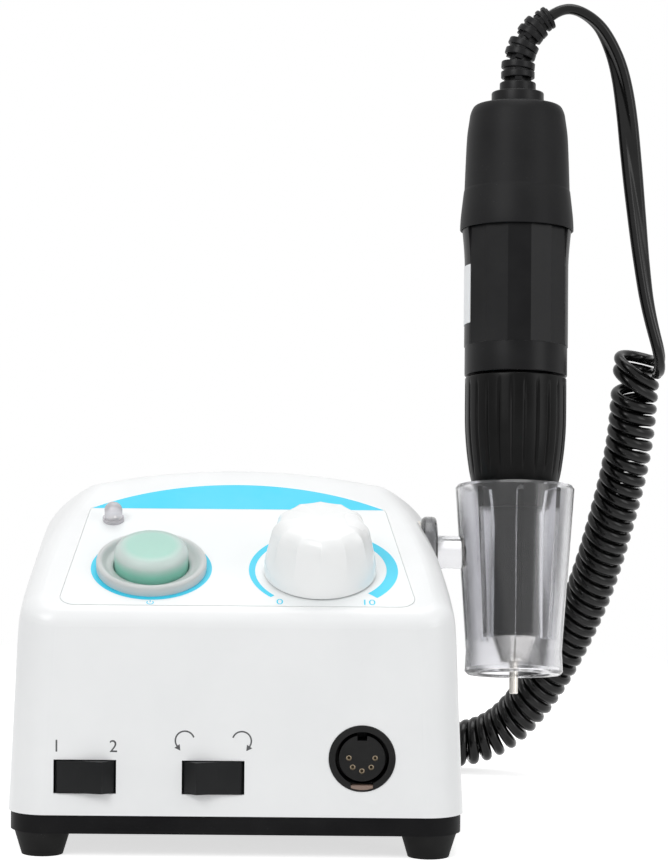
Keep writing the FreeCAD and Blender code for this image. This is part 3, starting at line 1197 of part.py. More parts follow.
def make_handpiece_cap():
    outer = turned([(0, CAP_BOTTOM), (CAP_BOTTOM_RADIUS, CAP_BOTTOM),
                    (CAP_BOTTOM_RADIUS, CAP_BOTTOM + CAP_EDGE), (CAP_WAIST_RADIUS, CAP_WAIST),
                    (CAP_SHOULDER_RADIUS, CAP_SHOULDER), (CAP_BEND_RADIUS, CAP_BEND),
                    (CAP_TOP_RADIUS, CAP_TOP - CAP_EDGE / 2), (CAP_TOP_RADIUS - CAP_EDGE, CAP_TOP),
                    (0, CAP_TOP)])
    roof = CAP_TOP - CAP_ROOF
    room = rod(facet_corner() + FIT, CAP_BOTTOM - 1, FACET_TOP + FIT)
    room = room.fuse(rod(HOUSING_SPIGOT_RADIUS + FIT, FACET_TOP - 1, roof - CAP_WALL))
    room = room.fuse(rod(CAP_TOP_RADIUS - CAP_WALL, roof - CAP_WALL - 1, roof))
    room = room.fuse(rod(RELIEF_NECK_RADIUS + FIT, roof - 1, CAP_TOP + 1))
    save("handpiece_cap", put(outer.cut(room), HOLDER))


def make_nose_and_bearings():
    nose = rod(NOSE_RADIUS, NOSE_BOTTOM, NOSE_TOP)
    nose = nose.makeFillet(NOSE_ROUND, rims_at(nose, NOSE_BOTTOM))
    nose = nose.fuse(rod(NOSE_FLANGE_RADIUS, SPIGOT_BOTTOM - NOSE_FLANGE_THICKNESS, SPIGOT_BOTTOM))
    nose = nose.cut(rod(NOSE_BORE, NOSE_BOTTOM - 1, NOSE_TOP + 1))
    save("nose_cone", put(nose, HOLDER))
    races = [put(ring(NOSE_BORE - PRESS, SHAFT_STEEL_RADIUS + FIT, low, low + BEARING_WIDTH), HOLDER)
             for low in (FRONT_BEARING, MID_BEARING)]
    return races


def make_spindle():
    profile = [(0, COLLET_TIP), (COLLET_TIP_RADIUS, COLLET_TIP), (COLLET_RADIUS, NOSE_BOTTOM - SEAT_GAP),
               (SHAFT_STEEL_RADIUS, NOSE_BOTTOM - SEAT_GAP), (SHAFT_STEEL_RADIUS, COUPLING), (0, COUPLING)]
    spindle = turned(profile).cut(rod(BUR_RADIUS + BUR_GAP, COLLET_TIP - 1, COLLET_TIP + BUR_GRIP + 1))
    slot = block(COLLET_SLOT, 4 * COLLET_RADIUS, COLLET_TIP - 1, COLLET_TIP + COLLET_SLOT_DEPTH)
    for turn in (0, 60, 120):
        cutter = slot.copy()
        cutter.rotate(V(0, 0, 0), V(0, 0, 1), turn)
        spindle = spindle.cut(cutter)
    save("collet_spindle", put(spindle, HOLDER))
    bur = rod(BUR_RADIUS, BUR_TIP, COLLET_TIP + BUR_GRIP)
    save("bur_shank", put(bur.makeFillet(BUR_ROUND, rims_at(bur, BUR_TIP)), HOLDER))


def make_motor():
    bell_low = COMMUTATOR_TOP + 1.0
    bell_top = bell_low + BELL_THICKNESS
    rotor = rod(ROTOR_SHAFT_RADIUS, COUPLING, bell_top + ROTOR_END)
    rotor = rotor.fuse(rod(ROTOR_RADIUS, ROTOR_BOTTOM, ROTOR_TOP))
    rotor = rotor.fuse(rod(COMMUTATOR_RADIUS, ROTOR_TOP, COMMUTATOR_TOP))
    save("motor_rotor", put(rotor, HOLDER))
    magnet = ring(HOUSING_BORE - PRESS, MAGNET_RADIUS, MAGNET_BOTTOM, MAGNET_TOP)
    save("motor_magnet", put(magnet, HOLDER))
    bell = ring(HOUSING_BORE - PRESS, BELL_BEARING_RADIUS, bell_low, bell_top)
    brushes = []
    for side in (-1, 1):
        gap = COMMUTATOR_RADIUS + FIT
        length = HOUSING_BORE - BRUSH_SET_IN - gap
        x = side * (gap + length / 2)
        high = bell_low - SEAT_GAP
        brushes.append(put(block(length, BRUSH_WIDTH, high - BRUSH_HEIGHT, high, x), HOLDER))
        x = side * (HOUSING_BORE - BRUSH_SET_IN + BRUSH_POST / 2)
        bell = bell.fuse(block(BRUSH_POST, BRUSH_WIDTH + BRUSH_POST, high - BRUSH_HEIGHT, bell_low + 1, x))
    save("brush_holder", put(bell.common(rod(HOUSING_BORE - PRESS, 0, CAP_TOP)), HOLDER))
    save("carbon_brushes", *brushes)
    high = bell_low + BELL_BEARING_WIDTH
    bearing = ring(BELL_BEARING_RADIUS - PRESS, ROTOR_SHAFT_RADIUS + FIT, bell_low, high)
    return put(bearing, HOLDER)


# Paths and tubes
def arc_to(start, heading, end):
    chord = end.sub(start)
    along = V(heading).normalize()
    length = chord.Length
    unit = V(chord).normalize()
    side = along.sub(unit.multiply(along.dot(unit)))
    if side.Length < 1e-7:
        return Part.LineSegment(start, end).toShape()
    half = along.getAngle(chord)
    side.normalize()
    middle = start.add(chord.multiply(0.5)).add(side.multiply(length / 2 * math.tan(half / 2)))
    return Part.Arc(start, middle, end).toShape()


def biarc(start, start_heading, end, end_heading):
    a = V(start_heading).normalize()
    b = V(end_heading).normalize()
    gap = end.sub(start)
    both = a.add(b)
    fold = 2 * (1 - a.dot(b))
    along = gap.dot(both)
    if fold < 1e-9:
        reach = gap.dot(gap) / (2 * along)
    else:
        reach = (-along + math.sqrt(along * along + fold * gap.dot(gap))) / fold
    joint = start.add(end).add(V(a.sub(b)).multiply(reach)).multiply(0.5)
    first = arc_to(start, a, joint)
    turn = first.tangentAt(first.LastParameter)
    return [first, arc_to(joint, turn, end)]


def tube_of_turns(stations, radius):
    edges = strand_edges(stations)
    return pipe(edges, Part.Wire(Part.Circle(stations[0][0], stations[0][1], radius).toShape()))


def pipe(edges, section):
    sweep = Part.BRepOffsetAPI.MakePipeShell(Part.Wire(edges))
    sweep.add(section)
    sweep.build()
    sweep.makeSolid()
    return sweep.shape()


# A route is straight runs joined by arcs, each as large as its two runs allow
def route_edges(points, name):
    corners = [V(*p) for p in points]
    edges = []
    radii = []
    at = corners[0]
    for before, corner, after in zip(corners, corners[1:], corners[2:]):
        come = corner.sub(before)
        go = after.sub(corner)
        turn = come.getAngle(go)
        shorter = min(come.Length, go.Length)
        setback = 0.45 * shorter
        radii.append(setback / math.tan(turn / 2))
        enter = corner.sub(V(come).normalize().multiply(setback))
        leave = corner.add(V(go).normalize().multiply(setback))
        edges.append(Part.LineSegment(at, enter).toShape())
        edges.append(arc_to(enter, come, leave))
        at = leave
    edges.append(Part.LineSegment(at, corners[-1]).toShape())
    print(name, "arc radii:", " ".join("%.1f" % r for r in radii))
    return edges


def flat_section(centre, heading, wide_way):
    way = V(heading).normalize()
    wide = wide_way.sub(V(way).multiply(wide_way.dot(way))).normalize()
    thin = way.cross(wide)
    side = V(wide).multiply((TWIN_WIDTH - TWIN_THICKNESS) / 2)
    rise = V(thin).multiply(TWIN_THICKNESS / 2)
    reach = V(wide).multiply(TWIN_WIDTH / 2)
    edges = [Part.LineSegment(centre.sub(side).sub(rise), centre.add(side).sub(rise)).toShape(),
             Part.Arc(centre.add(side).sub(rise), centre.add(reach), centre.add(side).add(rise)).toShape(),
             Part.LineSegment(centre.add(side).add(rise), centre.sub(side).add(rise)).toShape(),
             Part.Arc(centre.sub(side).add(rise), centre.sub(reach), centre.sub(side).sub(rise)).toShape()]
    return Part.Wire(edges)


def flat_cord(points, wide_way, name):
    edges = route_edges(points, name)
    start = V(*points[0])
    solid = pipe(edges, flat_section(start, V(*points[1]).sub(start), wide_way))
    length = sum(e.Length for e in edges)
    area = TWIN_THICKNESS * (TWIN_WIDTH - TWIN_THICKNESS) + math.pi * TWIN_THICKNESS ** 2 / 4
    print("%s length %.1f mm" % (name, length))
    print("volume %.1f against section times length %.1f" % (solid.Volume, area * length))
    return solid


def relief_point(distance):
    straight = RELIEF_BEND_START - RELIEF_NECK_TOP
    if distance <= straight:
        return V(0, 0, RELIEF_NECK_TOP + distance), V(0, 0, 1)
    angle = (distance - straight) / RELIEF_BEND_RADIUS
    x = RELIEF_BEND_RADIUS * (1 - math.cos(angle))
    z = RELIEF_BEND_START + RELIEF_BEND_RADIUS * math.sin(angle)
    return V(x, 0, z), V(math.sin(angle), 0, math.cos(angle))


def make_strain_relief():
    roof = CAP_TOP - CAP_ROOF
    relief = rod(COLLAR_RADIUS, CAP_TOP, COLLAR_TOP)
    relief = relief.fuse(rod(RELIEF_NECK_RADIUS, roof - RELIEF_ROOT, RELIEF_NECK_TOP))
    relief = relief.fuse(rod(COLLAR_RADIUS, roof - RELIEF_ROOT, roof))
    total = RELIEF_BEND_START - RELIEF_NECK_TOP + RELIEF_BEND_RADIUS * math.radians(RELIEF_BEND_TURN)
    pieces = RELIEF_RINGS
    stations = [relief_point(total * step / pieces) for step in range(pieces + 1)]
    for step in range(pieces):
        start, heading = stations[step]
        radius = RELIEF_FIRST_CORE + step / (pieces - 1) * (RELIEF_LAST_CORE - RELIEF_FIRST_CORE)
        core = Part.Wire(Part.Circle(start, heading, radius).toShape())
        relief = relief.fuse(pipe([arc_to(start, heading, stations[step + 1][0])], core))
    first = RELIEF_BEND_START - RELIEF_NECK_TOP
    last = total - RELIEF_LAST_SETBACK
    for number in range(RELIEF_RINGS):
        share = number / (RELIEF_RINGS - 1)
        point, heading = relief_point(first + (last - first) * share)
        radius = RELIEF_FIRST_RING + share * (RELIEF_LAST_RING - RELIEF_FIRST_RING)
        start = point.sub(V(heading).multiply(RELIEF_RING_LENGTH / 2))
        relief = relief.fuse(Part.makeCylinder(radius, RELIEF_RING_LENGTH, start, heading))
    save("strain_relief", put(relief, HOLDER))
    return HOLDER.multVec(relief_point(total)[0])


# Curly cord: two strands wound side by side round one curved line
def smooth_line(points, steps):
    line = []
    count = len(points)
    knots = [0, 0] + list(range(count - 1)) + [count - 2, count - 2]
    for index in range(count - 2):
        low = knots[index + 2]
        high = knots[index + 3]
        for step in range(steps):
            t = low + (high - low) * step / steps
            line.append(spline_point(points, knots, index + 2, t))
    line.append(V(*points[-1]))
    return line


def spline_point(points, knots, span, t):
    hold = [V(*points[span - 2 + i]) for i in range(3)]
    for level in (1, 2):
        for i in range(2, level - 1, -1):
            low = knots[span - 2 + i]
            high = knots[span + 1 + i - level]
            share = (t - low) / (high - low)
            hold[i] = V(hold[i - 1]).multiply(1 - share).add(V(hold[i]).multiply(share))
    return hold[2]


def make_curly_cord():
    line = smooth_line(COIL_ROUTE, COIL_STEPS)
    lengths = [0.0]
    for a, b in zip(line, line[1:]):
        lengths.append(lengths[-1] + a.distanceToPoint(b))
    turns = round(lengths[-1] / CURL_PITCH)
    pitch = lengths[-1] / turns
    frames = []
    side = V(1, 0, 0)
    for i, point in enumerate(line):
        heading = line[min(i + 1, len(line) - 1)].sub(line[max(i - 1, 0)]).normalize()
        side = side.sub(V(heading).multiply(side.dot(heading))).normalize()
        frames.append((point, heading, V(side)))

    def station(distance, angle):
        distance = min(max(distance, 0.0), lengths[-1])
        i = max(j for j in range(len(lengths) - 1) if lengths[j] <= distance)
        share = (distance - lengths[i]) / (lengths[i + 1] - lengths[i])
        centre = V(frames[i][0]).multiply(1 - share).add(V(frames[i + 1][0]).multiply(share))
        heading = V(frames[i][1]).multiply(1 - share).add(V(frames[i + 1][1]).multiply(share)).normalize()
        out = V(frames[i][2]).multiply(1 - share).add(V(frames[i + 1][2]).multiply(share)).normalize()
        across = heading.cross(out)
        c = CURL_RADIUS * math.cos(angle)
        s = CURL_RADIUS * math.sin(angle)
        reach = V(out).multiply(c).sub(V(across).multiply(s))
        way = V(out).multiply(-s).sub(V(across).multiply(c))
        return centre.add(reach), way.add(V(heading).multiply(pitch / (2 * math.pi)))

    halves = (turns - 1) * CURL_HALF_TURNS
    whole = 2 * math.pi * (turns - 1) - math.radians(COIL_END_BACK)
    runs = []
    strands = []
    starts = []
    ends = []
    for number in (0, 1):
        offset = pitch / 2 * (number + 0.25)
        stations = []
        for half in range(halves + 1):
            lift = FIRST_TURN_LIFT if half == 1 else 0
            distance = pitch * (turns - 1) * half / halves + offset - lift
            stations.append(station(distance, whole * half / halves))
        runs.append(stations)
    for stations in level_ends(runs):
        starts.append(stations[0])
        ends.append(stations[-1])
        strands.append(tube_of_turns(stations, STRAND_RADIUS))
    length = sum(e.Length for e in strand_edges(stations))
    print("curly cord: %d turns of two strands, each %.0f mm long" % (turns, length))
    print("least gap of a strand to itself %.2f mm" % least_gap(strand_edges(stations)))
    save("curly_cord", *strands)
    return starts, ends


def strand_edges(stations):
    edges = []
    for (start, start_heading), (end, end_heading) in zip(stations, stations[1:]):
        edges += biarc(start, start_heading, end, end_heading)
    return edges


# Smallest space between a strand and its own neighbouring turns, on points along it
def least_gap(edges):
    points = []
    for edge in edges:
        points += edge.discretize(7)[:-1]
    turn = 2 * math.pi * CURL_RADIUS
    along = [0.0]
    for a, b in zip(points, points[1:]):
        along.append(along[-1] + a.distanceToPoint(b))
    least = CURL_PITCH * 2
    for i, point in enumerate(points):
        for j in range(i + 1, len(points)):
            apart = along[j] - along[i]
            if apart > 1.6 * turn:
                break
            if apart > 0.5 * turn:
                least = min(least, point.distanceToPoint(points[j]))
    return least - 2 * STRAND_RADIUS


def mean_way(pair):
    return V(pair[0][1]).normalize().add(V(pair[1][1]).normalize()).normalize()


def run_to(station, way, level):
    point, heading = station
    reach = (level - point.dot(way)) / heading.dot(way)
    return point.add(V(heading).multiply(reach)), heading


# Both strands end straight, in one plane square to their mean direction
def level_ends(runs):
    diameter = 2 * STRAND_RADIUS
    firsts = [stations[0] for stations in runs]
    lasts = [stations[-1] for stations in runs]
    first_way = mean_way(firsts)
    last_way = mean_way(lasts)
    low = min(point.dot(first_way) for point, _ in firsts) - diameter
    high = max(point.dot(last_way) for point, _ in lasts) + diameter
    return [[run_to(stations[0], first_way, low)] + stations + [run_to(stations[-1], last_way, high)]
            for stations in runs]


def middle_of(pair):
    (a, _), (b, _) = pair
    return a.add(b).multiply(0.5)


def make_lead(start, ends):
    start = start.add(V(*LEAD_ROUTE[0]).sub(start).normalize().multiply(CORD_JOIN))
    middle = middle_of(ends)
    way = mean_way(ends)
    end = middle.sub(V(way).multiply(CORD_JOIN))
    bend = middle.sub(V(way).multiply(LEAD_END_RUN))
    points = [start] + [V(*p) for p in LEAD_ROUTE] + [bend, end]
    save("cord_lead", flat_cord(points, V(0, 1, 0), "cord lead"))


def make_tail_and_plug(starts):
    axis = PLUG_GRIP_RADIUS + PLUG_FLOOR_GAP
    plug_end = V(PLUG_X, PLUG_Y, axis)
    middle = middle_of(starts)
    way = mean_way(starts)
    start = middle.add(V(way).multiply(CORD_JOIN))
    bend = middle.add(V(way).multiply(TAIL_START_RUN))
    last_bend = plug_end.add(V(TAIL_END_RUN, 0, 0))
    points = [start, bend] + [V(*p) for p in TAIL_ROUTE] + [last_bend, plug_end.add(V(CORD_JOIN, 0, 0))]
    wide = starts[1][0].sub(starts[0][0])
    save("cord_tail", flat_cord(points, wide, "cord tail"))
    frame = Placement(plug_end, Rotation(V(0, 1, 0), -90))
    neck_end = PLUG_NECK_LENGTH
    grip_end = neck_end + PLUG_GRIP_LENGTH
    grip = turned([(0, 0), (PLUG_NECK_END_RADIUS, 0), (PLUG_NECK_RADIUS, neck_end),
                   (PLUG_GRIP_RADIUS - PLUG_SHOULDER, neck_end),
                   (PLUG_GRIP_RADIUS, neck_end + PLUG_SHOULDER_RISE), (PLUG_GRIP_RADIUS, grip_end),
                   (0, grip_end)])
    for number in range(PLUG_GRIP_RIBS):
        low = neck_end + PLUG_RIB_START + 2 * PLUG_RIB_WIDTH * number
        groove = ring(PLUG_GRIP_RADIUS + 1, PLUG_GRIP_RADIUS - PLUG_RIB_DEPTH, low, low + PLUG_RIB_WIDTH)
        grip = grip.cut(groove)
    save("cord_plug", put(grip, frame))
    skirt_inner = PLUG_SKIRT_RADIUS - PLUG_SKIRT_WALL
    pins = [put(ring(PLUG_SKIRT_RADIUS, skirt_inner, grip_end, grip_end + PLUG_SKIRT_LENGTH), frame)]
    for number in range(PIN_COUNT):
        angle = math.radians(180 + PIN_STEP * number)
        x = PIN_CIRCLE * math.cos(angle)
        y = PIN_CIRCLE * math.sin(angle)
        pins.append(put(rod(PLUG_PIN_RADIUS, grip_end, grip_end + PLUG_PIN_LENGTH, x, y), frame))
    save("plug_pins", *pins)


os.makedirs("parts", exist_ok=True)
make_upper_shell()
make_base_tray()
make_feet_and_screws()
make_control_plate()
make_power_bezel()
make_power_button()
make_power_switch()
make_overload_lamp()
make_speed_knob()
nuts = [make_speed_control()]
blades = make_rocker_switch("hand_foot", HAND_FOOT_X, -ROCKER_TILT)
blades += make_rocker_switch("direction", DIRECTION_X, ROCKER_TILT)
save("switch_blades", *blades)
make_motor_socket()
inside_screws = make_mains_inlet()
nuts += make_fuse_and_jack()
make_main_board()
inside_screws += make_transformer()
save("machine_screws", *inside_screws)
make_holder()
nuts.append(make_pivot_bush())
save("panel_nuts", *nuts)
make_chuck_sleeve()
make_motor_housing()
make_handpiece_cap()
races = make_nose_and_bearings()
make_spindle()
races.append(make_motor())
save("bearings", *races)
lead_start = make_strain_relief()
coil_starts, coil_ends = make_curly_cord()
make_lead(lead_start, coil_starts)
make_tail_and_plug(coil_ends)
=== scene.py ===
import bpy
import bmesh
import math
from mathutils import Matrix, Vector, geometry


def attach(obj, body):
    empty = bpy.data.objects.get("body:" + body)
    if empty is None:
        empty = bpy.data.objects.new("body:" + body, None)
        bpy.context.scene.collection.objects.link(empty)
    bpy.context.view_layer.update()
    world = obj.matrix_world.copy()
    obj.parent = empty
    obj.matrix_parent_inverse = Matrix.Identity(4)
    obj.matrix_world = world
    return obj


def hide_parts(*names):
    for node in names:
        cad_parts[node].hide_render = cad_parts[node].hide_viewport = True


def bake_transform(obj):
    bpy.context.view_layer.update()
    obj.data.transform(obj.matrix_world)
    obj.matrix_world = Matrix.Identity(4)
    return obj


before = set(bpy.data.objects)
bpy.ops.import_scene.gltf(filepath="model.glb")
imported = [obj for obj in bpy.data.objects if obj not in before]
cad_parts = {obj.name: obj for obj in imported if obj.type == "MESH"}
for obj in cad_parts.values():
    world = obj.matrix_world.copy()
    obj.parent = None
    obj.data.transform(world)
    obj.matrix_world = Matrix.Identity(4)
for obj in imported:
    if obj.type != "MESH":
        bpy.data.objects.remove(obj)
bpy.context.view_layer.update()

# Nail drill machine, in metres: X right, Y back, Z up, in the frame of the solids.

MM = 0.001

# Faces of the control box
Z_SEAM = 0.0116
FRONT_LEAN = 2.0
PANEL_RISE = 0.0537
PANEL_TILT = 23.5
FRONT_Y = -0.065
PANEL_Y = FRONT_Y + PANEL_RISE * math.tan(math.radians(FRONT_LEAN))
FRONT = Matrix.Translation((0, FRONT_Y, Z_SEAM)) @ Matrix.Rotation(math.radians(90 - FRONT_LEAN), 4, "X")
PANEL = (Matrix.Translation((0, PANEL_Y, Z_SEAM + PANEL_RISE))
         @ Matrix.Rotation(math.radians(PANEL_TILT), 4, "X"))

# Holder and handpiece axis
HOLDER_LEAN = 13.0
HOLDER_CANT = 0.35
HOLDER_PIVOT = (0.07625, 0, 0.0739)
HOLDER = (Matrix.Translation(HOLDER_PIVOT) @ Matrix.Rotation(math.radians(HOLDER_CANT), 4, "Y")
          @ Matrix.Rotation(math.radians(-HOLDER_LEAN), 4, "X"))

# Control plate and what is printed on it
PLATE_TOP = 0.1 * MM
INK_LIFT = 0.03 * MM
BAND_LOW = 54.4 * MM
BAND_TOP = 67.6 * MM
BAND_ARC_RADIUS = 66.4 * MM
POWER_U, POWER_V = -23.0 * MM, 22.7 * MM
KNOB_U, KNOB_V = 22.0 * MM, 21.8 * MM
LED_U, LED_V = -33.8 * MM, 48.0 * MM
POWER_RING_INNER = 14.6 * MM
POWER_RING_OUTER = 16.17 * MM
CRESCENT_U, CRESCENT_V = 22.9 * MM, 22.4 * MM
CRESCENT_RADIUS = 19.9 * MM
CRESCENT_THIN = 1.35 * MM
CRESCENT_THICK = 3.4 * MM
CRESCENT_HALF_ANGLE = 135.0
SCALE_APART = 11.7 * MM
SCALE_V = 6.25 * MM
SCALE_HEIGHT = 2.9 * MM
SIGN_V = 5.2 * MM
SIGN_RADIUS = 0.85 * MM
SIGN_LINE = 0.28 * MM

# Front face
HAND_FOOT_U = -39.8 * MM
DIRECTION_U = -6.0 * MM
MARK_RISE = 18.6 * MM
MARK_APART = 7.5 * MM

# Cord
STRAND_RADIUS = 1.56 * MM
TWIN_WIDTH = 5.9 * MM
TWIN_THICKNESS = 2.95 * MM
CURL_RADIUS = 5.2 * MM
CURL_PITCH = 6.8 * MM
FIRST_TURN_LIFT = 3.5 * MM
COIL_END_BACK = 17.0
CURL_STEPS = 30
STRAND_START = 0.125
STRAND_SIDE = (0.3, 0.2, 1.0)
STRAND_END_RUN = 2.6 * MM
CORD_JOIN = 0.2 * MM
LEAD_END_RUN = 8.2 * MM
TAIL_START_RUN = 7.6 * MM
LEAD_TURN_START = 0.1
SPLIT_SHARE = 0.5
LEAD_ROUTE = [
    (0.0862, 0.0340, 0.2210), (0.0888, 0.0344, 0.2229), (0.0935, 0.0342, 0.2231), (0.0992, 0.0339, 0.2195),
    (0.1027, 0.0335, 0.2140), (0.1057, 0.0330, 0.2062), (0.1077, 0.0326, 0.1952), (0.1091, 0.0320, 0.1820),
    (0.1107, 0.0314, 0.1673), (0.1125, 0.0309, 0.1520), (0.1145, 0.0304, 0.1389)]
COIL_ROUTE = [
    (0.1127, 0.0400, 0.1251), (0.1119, 0.0410, 0.1141), (0.1112, 0.0426, 0.1018), (0.1091, 0.0452, 0.0889),
    (0.1065, 0.0484, 0.0772), (0.1042, 0.0520, 0.0672), (0.1014, 0.0560, 0.0568), (0.0979, 0.0602, 0.0470),
    (0.0940, 0.0644, 0.0376), (0.0895, 0.0684, 0.0284), (0.0841, 0.0718, 0.0198), (0.0774, 0.0746, 0.0124),
    (0.0692, 0.0764, 0.0084), (0.0595, 0.0772, 0.0074), (0.0480, 0.0775, 0.0074), (0.0360, 0.0776, 0.0074),
    (0.0240, 0.0775, 0.0074)]
TAIL_ROUTE = [
    (0.0215, 0.0915, 0.0020), (0.0115, 0.0930, 0.0021), (0.0030, 0.0920, 0.0046), (-0.0040, 0.0914, 0.00705)]
PLUG_END = (-0.0098, 0.0914, 0.00705)


# Meshes
def new_piece(name, verts, faces, material, smooth_angle=35.0):
    mesh = bpy.data.meshes.new(name)
    mesh.from_pydata([tuple(v) for v in verts], [], faces)
    mesh.validate()
    made = bmesh.new()
    made.from_mesh(mesh)
    bmesh.ops.recalc_face_normals(made, faces=made.faces)
    made.to_mesh(mesh)
    made.free()
    mesh.shade_smooth()
    mesh.set_sharp_from_angle(angle=math.radians(smooth_angle))
    piece = bpy.data.objects.new(name, mesh)
    bpy.context.scene.collection.objects.link(piece)
    mesh.materials.append(material)
    return piece


def joined(shapes):
    verts = []
    faces = []
    for shape_verts, shape_faces in shapes:
        base = len(verts)
        verts += shape_verts
        faces += [tuple(index + base for index in face) for face in shape_faces]
    return verts, faces


def moved(shape, matrix):
    verts, faces = shape
    return [matrix @ Vector(v) for v in verts], faces


# A profile's corners are (radius, height, rounding)
def softened(corners, steps=6):
    points = []
    count = len(corners)
    for index, (radius, height, rounding) in enumerate(corners):
        here = Vector((radius, height))
        if rounding <= 0 or index in (0, count - 1):
            points.append(here)
            continue
        before = Vector(corners[index - 1][:2]) - here
        after = Vector(corners[index + 1][:2]) - here
        reach = min(rounding, 0.48 * before.length, 0.48 * after.length)
        a = here + before.normalized() * reach
        b = here + after.normalized() * reach
        for step in range(steps + 1):
            t = step / steps
            points.append(a * (1 - t) ** 2 + here * 2 * t * (1 - t) + b * t ** 2)
    return points


def turned(corners, around=96, shape=None):
    profile = softened(corners)
    verts = []
    faces = []
    rows = len(profile)
    for number in range(around):
        angle = 2 * math.pi * number / around
        for point in profile:
            radius = point.x if shape is None else shape(point.x, angle, point.y)
            verts.append(Vector((radius * math.cos(angle), radius * math.sin(angle), point.y)))
    for number in range(around):
        after = (number + 1) % around
        for row in range(rows - 1):
            here, beyond = number * rows + row, after * rows + row
            faces.append((here, beyond, beyond + 1, here + 1))
    if profile[0].x > 1e-7:
        faces.append(tuple(number * rows for number in range(around)))
    if profile[-1].x > 1e-7:
        faces.append(tuple(number * rows + rows - 1 for number in range(around)))
    return verts, faces


def sheet_of(outline, matrix, lift):
    points = [Vector((u, v, 0)) for u, v in outline]
    triangles = geometry.tessellate_polygon([points])
    return [matrix @ Vector((p.x, p.y, lift)) for p in points], [tuple(t) for t in triangles]


def strip_between(inner, outer, matrix, lift):
    verts = [matrix @ Vector((u, v, lift)) for u, v in inner + outer]
    count = len(inner)
    return verts, [(i, i + 1, count + i + 1, count + i) for i in range(count - 1)]


def arc_points(u, v, radius, start, end, steps):
    points = []
    for step in range(steps + 1):
        angle = math.radians(start + (end - start) * step / steps)
        points.append((u + radius * math.cos(angle), v + radius * math.sin(angle)))
    return points


# Paths
def spline_points(name, route, resolution=16):
    curve = bpy.data.curves.new(name, "CURVE")
    curve.dimensions = "3D"
    spline = curve.splines.new("NURBS")
    spline.points.add(len(route) - 1)
    for point, place in zip(spline.points, route):
        point.co = (*place, 1.0)
    spline.order_u = 3
    spline.use_endpoint_u = True
    curve.resolution_u = resolution
    holder = bpy.data.objects.new(name, curve)
    mesh = bpy.data.meshes.new_from_object(holder)
    points = [Vector(v.co) for v in mesh.vertices]
    bpy.data.objects.remove(holder)
    bpy.data.curves.remove(curve)
    bpy.data.meshes.remove(mesh)
    return points


def path_lengths(points):
    lengths = [0.0]
    for a, b in zip(points, points[1:]):
        lengths.append(lengths[-1] + (b - a).length)
    return lengths


def carried_frames(points, side):
    frames = []
    for index, point in enumerate(points):
        heading = points[min(index + 1, len(points) - 1)] - points[max(index - 1, 0)]
        heading.normalize()
        side = side - heading * side.dot(heading)
        side.normalize()
        frames.append((point, heading, side.copy()))
    return frames


def swept(frames, outline, turn=None):
    verts = []
    faces = []
    count = len(outline)
    for index, (point, heading, side) in enumerate(frames):
        angle = turn(index / (len(frames) - 1)) if turn else 0.0
        wide = side * math.cos(angle) + heading.cross(side) * math.sin(angle)
        thin = heading.cross(wide)
        verts += [point + wide * a + thin * b for a, b in outline]
    for index in range(len(frames) - 1):
        for i in range(count):
            j = (i + 1) % count
            here, beyond = index * count, (index + 1) * count
            faces.append((here + i, here + j, beyond + j, beyond + i))
    faces.append(tuple(range(count)))
    faces.append(tuple((len(frames) - 1) * count + i for i in range(count)))
    return verts, faces


def circle_outline(radius, count=14):
    return [(radius * math.cos(2 * math.pi * i / count), radius * math.sin(2 * math.pi * i / count))
            for i in range(count)]


def twin_outline():
    lobe = TWIN_THICKNESS / 2
    offset = (TWIN_WIDTH - TWIN_THICKNESS) / 2
    outline = []
    for side in (1, -1):
        for step in range(13):
            angle = math.radians(-132 + 22 * step)
            outline.append((side * (offset + lobe * math.cos(angle)), side * lobe * math.sin(angle)))
    return outline


# Shader groups
def new_group(name, inputs, outputs):
    group = bpy.data.node_groups.new(name, "ShaderNodeTree")
    for label, kind, default in inputs:
        socket = group.interface.new_socket(label, in_out="INPUT", socket_type=kind)
        socket.default_value = default
    for label, kind in outputs:
        group.interface.new_socket(label, in_out="OUTPUT", socket_type=kind)
    return group, group.nodes.new("NodeGroupInput"), group.nodes.new("NodeGroupOutput")


def node(tree, kind, **settings):
    made = tree.nodes.new(kind)
    for name, value in settings.items():
        if name in made.inputs:
            made.inputs[name].default_value = value
        else:
            setattr(made, name, value)
    return made


FLOAT = "NodeSocketFloat"
COLOUR = "NodeSocketColor"


